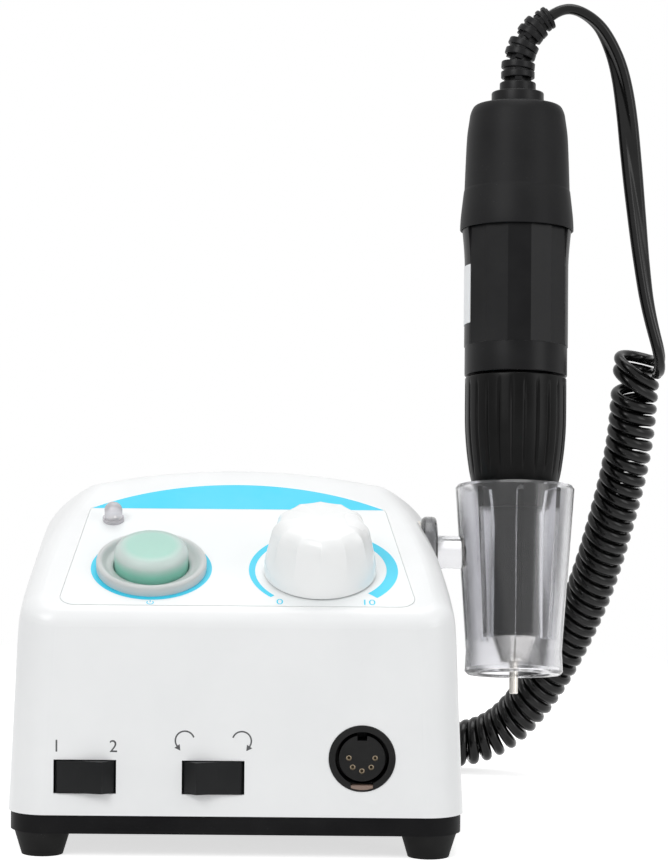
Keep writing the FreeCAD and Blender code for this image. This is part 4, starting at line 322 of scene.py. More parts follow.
def moulded_skin_group():
    group, given, out = new_group(
        "moulded_skin",
        [("Colour", COLOUR, (0.8, 0.8, 0.8, 1)), ("Worn Colour", COLOUR, (0.9, 0.9, 0.9, 1)),
         ("Patch Scale", FLOAT, 60.0), ("Grain Scale", FLOAT, 6000.0), ("Smooth", FLOAT, 0.3),
         ("Rough", FLOAT, 0.45)],
        [("Colour", COLOUR), ("Roughness", FLOAT), ("Height", FLOAT)])
    link = group.links.new
    place = node(group, "ShaderNodeTexCoord")
    patch = node(group, "ShaderNodeTexNoise", Detail=3.0, Roughness=0.55)
    grain = node(group, "ShaderNodeTexNoise", Detail=2.0, Roughness=0.6)
    link(place.outputs["Object"], patch.inputs["Vector"])
    link(place.outputs["Object"], grain.inputs["Vector"])
    link(given.outputs["Patch Scale"], patch.inputs["Scale"])
    link(given.outputs["Grain Scale"], grain.inputs["Scale"])
    spread = node(group, "ShaderNodeMapRange")
    spread.inputs["From Min"].default_value = 0.35
    spread.inputs["From Max"].default_value = 0.7
    link(patch.outputs["Fac"], spread.inputs["Value"])
    tint = node(group, "ShaderNodeMix", data_type="RGBA")
    link(spread.outputs["Result"], tint.inputs["Factor"])
    link(given.outputs["Colour"], tint.inputs[6])
    link(given.outputs["Worn Colour"], tint.inputs[7])
    gloss = node(group, "ShaderNodeMapRange")
    link(patch.outputs["Fac"], gloss.inputs["Value"])
    link(given.outputs["Smooth"], gloss.inputs["To Min"])
    link(given.outputs["Rough"], gloss.inputs["To Max"])
    link(tint.outputs[2], out.inputs["Colour"])
    link(gloss.outputs["Result"], out.inputs["Roughness"])
    link(grain.outputs["Fac"], out.inputs["Height"])
    return group


def dust_group():
    group, given, out = new_group(
        "settled_dust", [("Speck Scale", FLOAT, 900.0), ("Amount", FLOAT, 0.3)], [("Mask", FLOAT)])
    link = group.links.new
    place = node(group, "ShaderNodeTexCoord")
    specks = node(group, "ShaderNodeTexVoronoi", feature="F1")
    link(place.outputs["Object"], specks.inputs["Vector"])
    link(given.outputs["Speck Scale"], specks.inputs["Scale"])
    near = node(group, "ShaderNodeMapRange")
    near.inputs["From Min"].default_value = 0.12
    near.inputs["From Max"].default_value = 0.04
    link(specks.outputs["Distance"], near.inputs["Value"])
    patch = node(group, "ShaderNodeTexNoise", Scale=55.0, Detail=4.0)
    link(place.outputs["Object"], patch.inputs["Vector"])
    where = node(group, "ShaderNodeMapRange")
    where.inputs["From Min"].default_value = 0.52
    where.inputs["From Max"].default_value = 0.72
    link(patch.outputs["Fac"], where.inputs["Value"])
    both = node(group, "ShaderNodeMath", operation="MULTIPLY")
    link(near.outputs["Result"], both.inputs[0])
    link(where.outputs["Result"], both.inputs[1])
    level = node(group, "ShaderNodeMath", operation="MULTIPLY")
    link(both.outputs[0], level.inputs[0])
    link(given.outputs["Amount"], level.inputs[1])
    link(level.outputs[0], out.inputs["Mask"])
    return group


def turning_marks_group():
    group, given, out = new_group(
        "turning_marks", [("Line Scale", FLOAT, 4000.0), ("Smooth", FLOAT, 0.15), ("Rough", FLOAT, 0.35)],
        [("Roughness", FLOAT), ("Height", FLOAT)])
    link = group.links.new
    place = node(group, "ShaderNodeTexCoord")
    stretch = node(group, "ShaderNodeMapping")
    stretch.inputs["Scale"].default_value = (0.06, 0.06, 1.0)
    link(place.outputs["Object"], stretch.inputs["Vector"])
    lines = node(group, "ShaderNodeTexNoise", Detail=3.0)
    link(stretch.outputs["Vector"], lines.inputs["Vector"])
    link(given.outputs["Line Scale"], lines.inputs["Scale"])
    gloss = node(group, "ShaderNodeMapRange")
    link(lines.outputs["Fac"], gloss.inputs["Value"])
    link(given.outputs["Smooth"], gloss.inputs["To Min"])
    link(given.outputs["Rough"], gloss.inputs["To Max"])
    link(gloss.outputs["Result"], out.inputs["Roughness"])
    link(lines.outputs["Fac"], out.inputs["Height"])
    return group


MOULDED_SKIN = moulded_skin_group()
SETTLED_DUST = dust_group()
TURNING_MARKS = turning_marks_group()
DUST_COLOUR = (0.45, 0.45, 0.44, 1)


def placed_group(tree, group, **values):
    made = tree.nodes.new("ShaderNodeGroup")
    made.node_tree = group
    for name, value in values.items():
        made.inputs[name.replace("_", " ")].default_value = value
    return made


def start_material(name):
    material = bpy.data.materials.new(name)
    material.use_nodes = True
    tree = material.node_tree
    shader = tree.nodes["Principled BSDF"]
    return material, tree, shader


def add_bump(tree, shader, height, strength, distance):
    bump = node(tree, "ShaderNodeBump")
    bump.inputs["Strength"].default_value = strength
    bump.inputs["Distance"].default_value = distance
    tree.links.new(height, bump.inputs["Height"])
    tree.links.new(bump.outputs["Normal"], shader.inputs["Normal"])


def lighter(colour, share):
    return tuple(c + (1 - c) * share for c in colour[:3]) + (1,)


# Moulded plastics and rubbers: a faint mottling, a fine grain and a little dust
def moulding(name, colour, smooth, rough, grain=5000.0, depth=0.03 * MM, dust=0.0, worn=0.06, specular=0.5):
    material, tree, shader = start_material(name)
    colour = tuple(colour) + (1,)
    skin = placed_group(tree, MOULDED_SKIN, Colour=colour, Worn_Colour=lighter(colour, worn), Smooth=smooth,
                        Rough=rough, Grain_Scale=grain, Patch_Scale=55.0)
    shader.inputs["Specular IOR Level"].default_value = specular
    link = tree.links.new
    link(skin.outputs["Roughness"], shader.inputs["Roughness"])
    if dust > 0:
        specks = placed_group(tree, SETTLED_DUST, Amount=dust)
        mix = node(tree, "ShaderNodeMix", data_type="RGBA")
        mix.inputs[7].default_value = DUST_COLOUR
        link(specks.outputs["Mask"], mix.inputs["Factor"])
        link(skin.outputs["Colour"], mix.inputs[6])
        link(mix.outputs[2], shader.inputs["Base Color"])
    else:
        link(skin.outputs["Colour"], shader.inputs["Base Color"])
    add_bump(tree, shader, skin.outputs["Height"], 0.25, depth)
    return material


def metal(name, colour, smooth, rough, lines=4000.0):
    material, tree, shader = start_material(name)
    shader.inputs["Base Color"].default_value = tuple(colour) + (1,)
    shader.inputs["Metallic"].default_value = 1.0
    marks = placed_group(tree, TURNING_MARKS, Line_Scale=lines, Smooth=smooth, Rough=rough)
    tree.links.new(marks.outputs["Roughness"], shader.inputs["Roughness"])
    add_bump(tree, shader, marks.outputs["Height"], 0.15, 0.01 * MM)
    return material


# Clear and milky mouldings
def clear_moulding(name, colour, smooth, rough, passing, grain=3000.0, depth=0.02 * MM):
    material, tree, shader = start_material(name)
    colour = tuple(colour) + (1,)
    skin = placed_group(tree, MOULDED_SKIN, Colour=colour, Worn_Colour=lighter(colour, 0.1), Smooth=smooth,
                        Rough=rough, Grain_Scale=grain, Patch_Scale=90.0)
    shader.inputs["Transmission Weight"].default_value = passing
    shader.inputs["IOR"].default_value = 1.46
    tree.links.new(skin.outputs["Colour"], shader.inputs["Base Color"])
    tree.links.new(skin.outputs["Roughness"], shader.inputs["Roughness"])
    add_bump(tree, shader, skin.outputs["Height"], 0.2, depth)
    return material


WHITE_CASING = moulding("white_casing", (0.80, 0.81, 0.815), 0.26, 0.4, 4200.0, 0.02 * MM, 0.0, 0.12)
PLATE_FILM = moulding("plate_film", (0.82, 0.845, 0.85), 0.34, 0.5, 7000.0, 0.02 * MM, 0.0, 0.1)
BLUE_INK = moulding("blue_ink", (0.03, 0.60, 0.82), 0.4, 0.55, 7000.0, 0.015 * MM, 0.0, 0.05)
GREY_INK = moulding("grey_ink", (0.05, 0.052, 0.055), 0.45, 0.6, 7000.0, 0.015 * MM, 0.0, 0.04)
KNOB_WHITE = moulding("knob_white", (0.84, 0.85, 0.85), 0.2, 0.32, 3600.0, 0.012 * MM, 0.0, 0.1)
BLACK_CASING = moulding("black_casing", (0.002, 0.002, 0.0025), smooth=0.42, rough=0.56, grain=3000.0,
                        depth=0.05 * MM, dust=0.06, worn=0.005, specular=0.09)
FOOT_RUBBER = moulding("foot_rubber", (0.004, 0.004, 0.004), smooth=0.55, rough=0.75, grain=2600.0,
                       depth=0.06 * MM, dust=0.15, worn=0.008, specular=0.15)
SWITCH_BLACK = moulding("switch_black", (0.003, 0.0035, 0.004), smooth=0.26, rough=0.38, grain=5200.0,
                        depth=0.02 * MM, dust=0.05, worn=0.006, specular=0.18)
SOCKET_BLACK = moulding("socket_black", (0.003, 0.003, 0.003), smooth=0.35, rough=0.5, grain=5200.0,
                        depth=0.02 * MM, dust=0.05, worn=0.008, specular=0.18)
LATCH_BROWN = moulding("latch_brown", (0.19, 0.125, 0.095), 0.35, 0.5, 4200.0, 0.02 * MM, 0.1, 0.05)
HOUSING_BLACK = moulding("housing_black", (0.002, 0.002, 0.0025), smooth=0.28, rough=0.4, grain=4200.0,
                         depth=0.02 * MM, dust=0.08, worn=0.006, specular=0.15)
SLEEVE_BLACK = moulding("sleeve_black", (0.001, 0.001, 0.001), smooth=0.24, rough=0.36, grain=4200.0,
                        depth=0.02 * MM, dust=0.06, worn=0.004, specular=0.12)
CAP_RUBBER = moulding("cap_rubber", (0.0035, 0.0035, 0.004), smooth=0.42, rough=0.56, grain=3000.0,
                      depth=0.03 * MM, dust=0.1, worn=0.006, specular=0.15)
RELIEF_RUBBER = moulding("relief_rubber", (0.002, 0.002, 0.0025), smooth=0.32, rough=0.46, grain=3000.0,
                         depth=0.03 * MM, dust=0.08, worn=0.006, specular=0.2)
CORD_SHEATH = moulding("cord_sheath", (0.0015, 0.0015, 0.0015), smooth=0.16, rough=0.26, grain=3600.0,
                       depth=0.01 * MM, dust=0.05, worn=0.006, specular=0.26)
LABEL_FOIL = moulding("label_foil", (0.80, 0.81, 0.82), 0.35, 0.5, 5200.0, 0.01 * MM, 0.0, 0.1)
BOARD_GREEN = moulding("board_green", (0.03, 0.16, 0.06), 0.4, 0.55, 2500.0, 0.03 * MM, 0.2, 0.05)
CAN_SLEEVE = moulding("can_sleeve", (0.02, 0.03, 0.10), 0.3, 0.4, 2500.0, 0.02 * MM, 0.2, 0.04)
WINDING_TAPE = moulding("winding_tape", (0.55, 0.42, 0.08), 0.35, 0.5, 1500.0, 0.06 * MM, 0.2, 0.1)
CORE_IRON = moulding("core_iron", (0.09, 0.085, 0.08), 0.45, 0.65, 2500.0, 0.05 * MM, 0.2, 0.08)
FERRITE = moulding("ferrite", (0.06, 0.06, 0.06), 0.5, 0.7, 2500.0, 0.05 * MM, 0.0, 0.06)
CARBON = moulding("carbon", (0.03, 0.03, 0.03), 0.5, 0.7, 2500.0, 0.03 * MM, 0.0, 0.06)
STEEL = metal("turned_steel", (0.62, 0.61, 0.59), 0.14, 0.32)
NICKEL = metal("nickel_plate", (0.72, 0.69, 0.64), 0.08, 0.22)
SPRING_WIRE = metal("spring_wire", (0.5, 0.5, 0.5), 0.2, 0.4)
CONTACT_BRASS = metal("contact_brass", (0.42, 0.34, 0.24), 0.2, 0.38)
SINK_ALUMINIUM = metal("sink_aluminium", (0.6, 0.6, 0.61), 0.3, 0.5, 2000.0)
CUP_CLEAR = clear_moulding("cup_clear", (0.85, 0.85, 0.87), 0.12, 0.2, 1.0)
LAMP_CLEAR = clear_moulding("lamp_clear", (0.88, 0.86, 0.9), 0.08, 0.18, 0.55)
COVER_MILKY = clear_moulding("cover_milky", (0.84, 0.90, 0.885), 0.3, 0.42, 0.5)
BEZEL_MILKY = clear_moulding("bezel_milky", (0.72, 0.745, 0.74), 0.26, 0.4, 0.3)
LAMP_CAP_GREEN = clear_moulding("lamp_cap_green", (0.22, 0.78, 0.55), 0.3, 0.45, 0.2)

PAINTED_GLOW_GREEN = (0.34, 0.86, 0.70)
GLOW_TOP_SHARE = 0.5
GLOW_WALL_SHARE = 0.9
COVER_RIM = 8.8 * MM
COVER_BROW = 5.4 * MM


# Painted glow: green is painted into the milky cover's colour on its low wall and the middle of its top,
# standing in for the green cap shining through it
def painted_glow_from_within(material, place, colour, rim, brow):
    tree = material.node_tree
    shader = tree.nodes["Principled BSDF"]
    link = tree.links.new
    skin = shader.inputs["Base Color"].links[0].from_socket
    axis = place.to_3x3() @ Vector((0, 0, 1))
    where = node(tree, "ShaderNodeTexCoord")
    offset = node(tree, "ShaderNodeVectorMath", operation="SUBTRACT")
    offset.inputs[1].default_value = place.translation
    link(where.outputs["Object"], offset.inputs[0])
    across = node(tree, "ShaderNodeVectorMath", operation="CROSS_PRODUCT")
    across.inputs[1].default_value = axis
    link(offset.outputs["Vector"], across.inputs[0])
    reach = node(tree, "ShaderNodeVectorMath", operation="LENGTH")
    link(across.outputs["Vector"], reach.inputs[0])
    level = node(tree, "ShaderNodeVectorMath", operation="DOT_PRODUCT")
    level.inputs[1].default_value = axis
    link(offset.outputs["Vector"], level.inputs[0])
    both = node(tree, "ShaderNodeMath", operation="MAXIMUM")
    masks = ((reach, rim, 0.7 * rim, GLOW_TOP_SHARE), (level, brow, 0.5 * brow, GLOW_WALL_SHARE))
    for slot, (measure, start, full, share) in enumerate(masks):
        mask = node(tree, "ShaderNodeMapRange")
        mask.inputs["From Min"].default_value = start
        mask.inputs["From Max"].default_value = full
        mask.inputs["To Max"].default_value = share
        link(measure.outputs["Value"], mask.inputs["Value"])
        link(mask.outputs["Result"], both.inputs[slot])
    mix = node(tree, "ShaderNodeMix", data_type="RGBA")
    mix.inputs[7].default_value = tuple(colour) + (1,)
    link(both.outputs[0], mix.inputs["Factor"])
    link(skin, mix.inputs[6])
    link(mix.outputs[2], shader.inputs["Base Color"])


POWER_PLACE = PANEL @ Matrix.Translation((POWER_U, POWER_V, 0))
# Paints a green glow into the power button's milky cover
painted_glow_from_within(COVER_MILKY, POWER_PLACE, PAINTED_GLOW_GREEN, COVER_RIM, COVER_BROW)

NODE_FINISH = {
    "upper_shell": WHITE_CASING, "base_tray": BLACK_CASING, "rubber_feet": FOOT_RUBBER, "base_screws": STEEL,
    "control_plate": PLATE_FILM, "power_bezel": BEZEL_MILKY, "power_button_cover": COVER_MILKY,
    "power_button_cap": LAMP_CAP_GREEN, "power_switch_body": SWITCH_BLACK, "button_spring": SPRING_WIRE,
    "overload_lamp": LAMP_CLEAR, "speed_knob": KNOB_WHITE, "pot_shaft": NICKEL, "speed_control": NICKEL,
    "panel_nuts": NICKEL, "hand_foot_rocker": SWITCH_BLACK, "direction_rocker": SWITCH_BLACK,
    "hand_foot_switch": SWITCH_BLACK, "direction_switch": SWITCH_BLACK, "switch_blades": CONTACT_BRASS,
    "motor_socket_shell": SOCKET_BLACK, "motor_socket_insert": SOCKET_BLACK,
    "motor_socket_contacts": CONTACT_BRASS, "socket_latch": LATCH_BROWN, "mains_inlet": SOCKET_BLACK,
    "inlet_pins": NICKEL, "machine_screws": STEEL, "fuse_holder": SOCKET_BLACK, "fuse_cap": SOCKET_BLACK,
    "pedal_jack": SOCKET_BLACK, "main_board": BOARD_GREEN, "board_screws": STEEL, "capacitors": CAN_SLEEVE,
    "heat_sink": SINK_ALUMINIUM, "power_transistor": SWITCH_BLACK, "transformer_core": CORE_IRON,
    "transformer_winding": WINDING_TAPE, "transformer_strap": STEEL, "pivot_bush": NICKEL,
    "holder_cup": CUP_CLEAR, "pivot_clip": SPRING_WIRE, "chuck_sleeve": SLEEVE_BLACK,
    "collet_spindle": STEEL, "bur_shank": NICKEL, "nose_cone": BLACK_CASING, "bearings": STEEL,
    "motor_housing": HOUSING_BLACK, "blank_label": LABEL_FOIL, "motor_magnet": FERRITE,
    "motor_rotor": CORE_IRON, "brush_holder": BLACK_CASING, "carbon_brushes": CARBON,
    "handpiece_cap": CAP_RUBBER, "strain_relief": RELIEF_RUBBER, "cord_plug": CAP_RUBBER, "plug_pins": NICKEL,
    "cord_lead": CORD_SHEATH, "curly_cord": CORD_SHEATH, "cord_tail": CORD_SHEATH}


def finish_nodes():
    for name, material in NODE_FINISH.items():
        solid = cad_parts[name]
        solid.data.materials.clear()
        solid.data.materials.append(material)
    for name in ("hand_foot_rocker", "direction_rocker", "hand_foot_switch", "direction_switch"):
        soften_solid(name, SWITCH_EDGE)
    soften_solid("motor_socket_shell", SOCKET_EDGE)


# Edges of the moulded solids are slightly rounded
SWITCH_EDGE = 0.25 * MM
SOCKET_EDGE = 0.2 * MM
EDGE_ANGLE = 30.0


def soften_solid(name, width):
    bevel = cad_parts[name].modifiers.new("edge", "BEVEL")
    bevel.width = width
    bevel.segments = 2
    bevel.limit_method = "ANGLE"
    bevel.angle_limit = math.radians(EDGE_ANGLE)
    bevel.harden_normals = True


# Cords
def coil_strands():
    line = spline_points("coil_line", COIL_ROUTE, 24)
    lengths = path_lengths(line)
    frames = carried_frames(line, Vector((1, 0, 0)))
    turns = round(lengths[-1] / CURL_PITCH)
    pitch = lengths[-1] / turns

    def station(distance, angle):
        distance = min(max(distance, 0.0), lengths[-1])
        index = max(i for i in range(len(lengths) - 1) if lengths[i] <= distance)
        share = (distance - lengths[index]) / (lengths[index + 1] - lengths[index])
        centre = frames[index][0].lerp(frames[index + 1][0], share)
        heading = frames[index][1].lerp(frames[index + 1][1], share).normalized()
        side = frames[index][2].lerp(frames[index + 1][2], share).normalized()
        across = heading.cross(side)
        return centre + side * CURL_RADIUS * math.cos(angle) - across * CURL_RADIUS * math.sin(angle)

    whole = 2 * math.pi * (turns - 1) - math.radians(COIL_END_BACK)
    count = (turns - 1) * CURL_STEPS
    middle = []
    strands = ([], [])
    for step in range(count + 1):
        angle = whole * step / count
        lift = FIRST_TURN_LIFT * math.sin(angle / 2) ** 2 if angle < 2 * math.pi else 0.0
        distance = pitch * (turns - 1) * step / count - lift
        middle.append(station(distance + pitch * (STRAND_START + 0.25), angle))
        for number in (0, 1):
            strands[number].append(station(distance + pitch * (STRAND_START + number / 2), angle))
    return middle, strands


def mean_way(strands, first, after):
    ways = [(strand[first] - strand[after]).normalized() for strand in strands]
    return (ways[0] + ways[1]).normalized()


def run_to(point, neighbour, way, level):
    heading = (point - neighbour).normalized()
    return point + heading * (level - point.dot(way)) / heading.dot(way)


# Both strands end straight, in one plane square to their mean direction
def level_ends(strands):
    start_way = mean_way(strands, 0, 1)
    end_way = mean_way(strands, -1, -2)
    start = max(strand[0].dot(start_way) for strand in strands) + STRAND_END_RUN
    end = max(strand[-1].dot(end_way) for strand in strands) + STRAND_END_RUN
    return [[run_to(strand[0], strand[1], start_way, start)] + strand
            + [run_to(strand[-1], strand[-2], end_way, end)]
            for strand in strands]


def middle_of(strands, index):
    return (strands[0][index] + strands[1][index]) / 2


def make_cords():
    middle, strands = coil_strands()
    strands = level_ends(strands)
    middle = [middle_of(strands, 0)] + middle + [middle_of(strands, -1)]
    split = int(len(middle) * SPLIT_SHARE)
    halves = []
    for name, low, high in (("curly_cord_upper", 0, split + 1), ("curly_cord_lower", split, len(middle))):
        shapes = []
        for strand in strands:
            frames = carried_frames(strand[low:high], Vector(STRAND_SIDE))
            shapes.append(swept(frames, circle_outline(STRAND_RADIUS)))
        piece = new_piece(name, *joined(shapes), CORD_SHEATH, 60.0)
        halves.append((piece, middle[low:high]))
    way = mean_way(strands, 0, 1)
    lead_end = [tuple(middle[0] + way * LEAD_END_RUN), tuple(middle[0] + way * CORD_JOIN)]
    lead = spline_points("lead_line", LEAD_ROUTE + lead_end, 16)
    frames = carried_frames(lead, Vector((0, 1, 0)))
    wanted = (strands[1][0] - strands[0][0]).normalized()
    point, heading, side = frames[-1]
    final = math.atan2(wanted.dot(heading.cross(side)), wanted.dot(side))

    def lead_turn(share):
        done = rise(share, LEAD_TURN_START, 1.0)
        return final * done * done * (3 - 2 * done)

    lead_piece = new_piece("cord_lead_twin", *swept(frames, twin_outline(), lead_turn), CORD_SHEATH, 60.0)
    way = mean_way(strands, -1, -2)
    tail_start = [tuple(middle[-1] + way * CORD_JOIN), tuple(middle[-1] + way * TAIL_START_RUN)]
    tail = spline_points("tail_line", tail_start + TAIL_ROUTE + [PLUG_END], 16)
    across = (strands[1][-1] - strands[0][-1]).normalized()
    tail_frames = carried_frames(tail, across)
    tail_piece = new_piece("cord_tail_twin", *swept(tail_frames, twin_outline()), CORD_SHEATH, 60.0)
    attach(lead_piece, "handpiece")
    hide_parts("cord_lead")
    (upper, upper_path), (lower, lower_path) = halves
    joint = tuple(middle[split])
    for piece, path, a, b, start, end in (
            (upper, upper_path, "handpiece", "holder", tuple(middle[0]), joint),
            (lower, lower_path, "holder", "control_box", joint, tuple(middle[-1]))):
        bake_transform(piece)
        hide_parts("curly_cord")
    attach(tail_piece, "control_box")
    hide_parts("cord_tail")


# Printing on the plate and the front face
def make_prints():
    centre = BAND_TOP - BAND_ARC_RADIUS
    half = math.degrees(math.acos((BAND_LOW - centre) / BAND_ARC_RADIUS))
    band = arc_points(0, centre, BAND_ARC_RADIUS, 90 - half, 90 + half, 64)
    shapes = [sheet_of(band, PANEL, PLATE_TOP + INK_LIFT)]
    inner = arc_points(POWER_U, POWER_V, POWER_RING_INNER, 0, 360, 96)
    outer = arc_points(POWER_U, POWER_V, POWER_RING_OUTER, 0, 360, 96)
    shapes.append(strip_between(inner, outer, PANEL, PLATE_TOP + INK_LIFT))
    inner = []
    outer = []
    for step in range(97):
        share = step / 96
        angle = math.radians(90 + CRESCENT_HALF_ANGLE - 2 * CRESCENT_HALF_ANGLE * share)
        thick = CRESCENT_THIN + (CRESCENT_THICK - CRESCENT_THIN) * share
        way = (math.cos(angle), math.sin(angle))
        for edge, radius in ((inner, CRESCENT_RADIUS - thick), (outer, CRESCENT_RADIUS)):
            edge.append((CRESCENT_U + radius * way[0], CRESCENT_V + radius * way[1]))
    shapes.append(strip_between(inner, outer, PANEL, PLATE_TOP + INK_LIFT))
    shapes += power_sign()
    for number, side in (("0", -SCALE_APART), ("10", SCALE_APART)):
        shapes += digits(number, CRESCENT_U + side, SCALE_V, SCALE_HEIGHT, PANEL, PLATE_TOP + INK_LIFT)
    blue = new_piece("blue_print", *joined(shapes), BLUE_INK)
    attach(blue, "control_box")
    shapes = []
    for number, side in (("1", -1), ("2", 1)):
        shapes += digits(number, HAND_FOOT_U + side * MARK_APART, MARK_RISE, 3.4 * MM, FRONT, INK_LIFT)
    for side in (-1, 1):
        shapes += turn_arrow(DIRECTION_U + side * MARK_APART, MARK_RISE + 1.5 * MM, side)
    grey = new_piece("grey_print", *joined(shapes), GREY_INK)
    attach(grey, "control_box")


def power_sign():
    u, v, radius, half = POWER_U, SIGN_V, SIGN_RADIUS, SIGN_LINE / 2
    lift = PLATE_TOP + INK_LIFT
    inner = arc_points(u, v, radius - half, 135, 405, 40)
    outer = arc_points(u, v, radius + half, 135, 405, 40)
    low, high = v + half, v + radius + 2 * half
    bar = [(u - half, low), (u + half, low), (u + half, high), (u - half, high)]
    return [strip_between(inner, outer, PANEL, lift), sheet_of(bar, PANEL, lift)]


def turn_arrow(u, v, side):
    lift = INK_LIFT
    radius, half = 2.5 * MM, 0.2 * MM
    start, end = (20, 215) if side < 0 else (160, -35)
    inner = arc_points(u, v, radius - half, start, end, 28)
    outer = arc_points(u, v, radius + half, start, end, 28)
    angle = math.radians(end)
    tip_way = math.radians(end + (90 if end > start else -90))
    base = (u + radius * math.cos(angle), v + radius * math.sin(angle))
    tip = (base[0] + 1.5 * MM * math.cos(tip_way), base[1] + 1.5 * MM * math.sin(tip_way))
    wide = 0.85 * MM
    head = [(base[0] + wide * math.cos(angle), base[1] + wide * math.sin(angle)), tip,
            (base[0] - wide * math.cos(angle), base[1] - wide * math.sin(angle))]
    return [strip_between(inner, outer, FRONT, lift), sheet_of(head, FRONT, lift)]


def digits(text, u, v, height, matrix, lift):
    letters = bpy.data.curves.new("digits", "FONT")
    letters.body = text
    letters.size = height * 1.35
    letters.align_x = "CENTER"
    holder = bpy.data.objects.new("digits", letters)
    mesh = bpy.data.meshes.new_from_object(holder)
    shift = Vector((u, v - height / 2, lift))
    verts = [matrix @ (corner.co + shift) for corner in mesh.vertices]
    faces = [tuple(p.vertices) for p in mesh.polygons]
    bpy.data.objects.remove(holder)
    bpy.data.curves.remove(letters)
    bpy.data.meshes.remove(mesh)
    return [(verts, faces)]


# Panel pieces
KNOB_HEIGHT = 17.0 * MM
KNOB_SHOULDER = 13.6 * MM
KNOB_FLUTES = 12
KNOB_FLUTE_DEPTH = 0.85 * MM
KNOB_FLUTE_START = 4.0 * MM
KNOB_GAP = 0.3 * MM
BEZEL_BORE = 10.14
COVER_OUTER = 9.84
COVER_INNER = 8.64
LENS_RADIUS = 2.45
LENS_SHOULDER = 3.2
LENS_CROWN = 2.3
LENS_STEPS = 12
LEG_APART = 2.45


# A corner is a radius, a height and a rounding, written in millimetres
def in_metres(corners, base=0.0):
    return [(radius * MM, base + height * MM, rounding * MM) for radius, height, rounding in corners]


def rise(value, low, high):
    return min(max((value - low) / (high - low), 0.0), 1.0)


def walls_only(shape):
    return shape[0], [face for face in shape[1] if len(face) == 4]


def knob_shape(radius, angle, height):
    across = (angle * KNOB_FLUTES / (2 * math.pi)) % 1.0 * 2 - 1
    hollow = 1 - across * across
    climb = rise(height, KNOB_FLUTE_START, KNOB_SHOULDER)
    over = 1 - rise(height, KNOB_SHOULDER, KNOB_HEIGHT)
    return radius - KNOB_FLUTE_DEPTH * hollow * climb ** 1.5 * over ** 0.5


def make_knob():
    low = (PLATE_TOP + KNOB_GAP) / MM
    corners = in_metres([
        (4.8, low + 2, 0), (13.0, low + 2, 0), (13.2, low, 0.2), (15.07, low, 0.4), (14.9, low + 2.0, 1.0),
        (14.3, 6.0, 1.5), (13.5, 10.0, 1.5), (12.75, KNOB_SHOULDER / MM, 1.6), (10.8, 15.6, 1.6),
        (6.0, 16.7, 3), (0, KNOB_HEIGHT / MM, 0)])
    place = PANEL @ Matrix.Translation((KNOB_U, KNOB_V, 0))
    piece = new_piece("speed_knob_fluted", *moved(turned(corners, 288, knob_shape), place), KNOB_WHITE, 28.0)
    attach(piece, "speed_dial")
    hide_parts("speed_knob")


def make_power_button():
    foot = -7.1
    bezel = in_metres([
        (BEZEL_BORE, foot, 0), (11.9, foot, 0), (11.9, 0, 0), (14.73, 0, 0.2), (14.73, 2.6, 1.0),
        (13.9, 3.0, 0.5), (13.2, 2.7, 0.6), (12.0, 1.5, 0.8), (10.8, 1.3, 0.3), (BEZEL_BORE, 1.0, 0.2),
        (BEZEL_BORE, foot, 0)],
        PLATE_TOP)
    shape = moved(walls_only(turned(bezel, 128)), POWER_PLACE)
    piece = new_piece("power_bezel_ring", *shape, BEZEL_MILKY, 40.0)
    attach(piece, "control_box")
    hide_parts("power_bezel")
    skirt = -4.5
    cover = in_metres([
        (0, 7.4, 0), (8.4, 7.25, 1.5), (COVER_OUTER, 5.6, 1.4), (COVER_OUTER, skirt, 0.1),
        (COVER_INNER, skirt, 0.1), (COVER_INNER, 5.0, 1.2), (7.6, 6.15, 1.0), (0, 6.2, 0)])
    piece = new_piece("power_cover_dome", *moved(turned(cover, 128), POWER_PLACE), COVER_MILKY, 40.0)
    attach(piece, "power_button")
    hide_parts("power_button_cover")


# A straight or tapered pin with its axis x millimetres from the lamp's, and a flat or pointed end
def pin(x, low, high, radius, end_radius, end_rise=0.0):
    corners = [(0, low, 0), (radius, low, 0), (end_radius, high, 0), (0, high + end_rise, 0)]
    return moved(turned(in_metres(corners), 16), Matrix.Translation((x * MM, 0, 0)))


def make_lamp():
    place = PANEL @ Matrix.Translation((LED_U, LED_V, 0))
    flange = PLATE_TOP / MM
    lens = in_metres([
        (0, -4, 0), (LENS_RADIUS, -4, 0.1), (LENS_RADIUS, flange, 0), (2.9, flange, 0.1),
        (2.9, flange + 1.0, 0.2), (LENS_RADIUS, flange + 1.0, 0.1), (LENS_RADIUS, LENS_SHOULDER, 0)])
    for step in range(1, LENS_STEPS):
        angle = math.radians(90 * step / LENS_STEPS)
        lens += in_metres([
            (LENS_RADIUS * math.cos(angle), LENS_SHOULDER + LENS_CROWN * math.sin(angle), 0)])
    lens += in_metres([(0, LENS_SHOULDER + LENS_CROWN, 0)])
    piece = new_piece("overload_lamp_lens", *moved(turned(lens, 64), place), LAMP_CLEAR, 40.0)
    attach(piece, "control_box")
    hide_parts("overload_lamp")
    dish = turned(in_metres([
        (0, 0.6, 0), (0.5, 0.6, 0), (0.95, 1.5, 0), (0.7, 1.5, 0), (0.3, 0.9, 0), (0, 0.9, 0)]), 24)
    post = pin(-0.3, -3.8, 0.7, 0.45, 0.45)
    anvil = pin(1.2, -3.8, 1.2, 0.35, 0.5, 0.1)
    legs = [pin(side * LEG_APART / 2, -13, -3.9, 0.3, 0.3) for side in (-1, 1)]
    core = new_piece("overload_lamp_leads", *moved(joined([dish, post, anvil] + legs), place), NICKEL, 40.0)
    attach(core, "control_box")


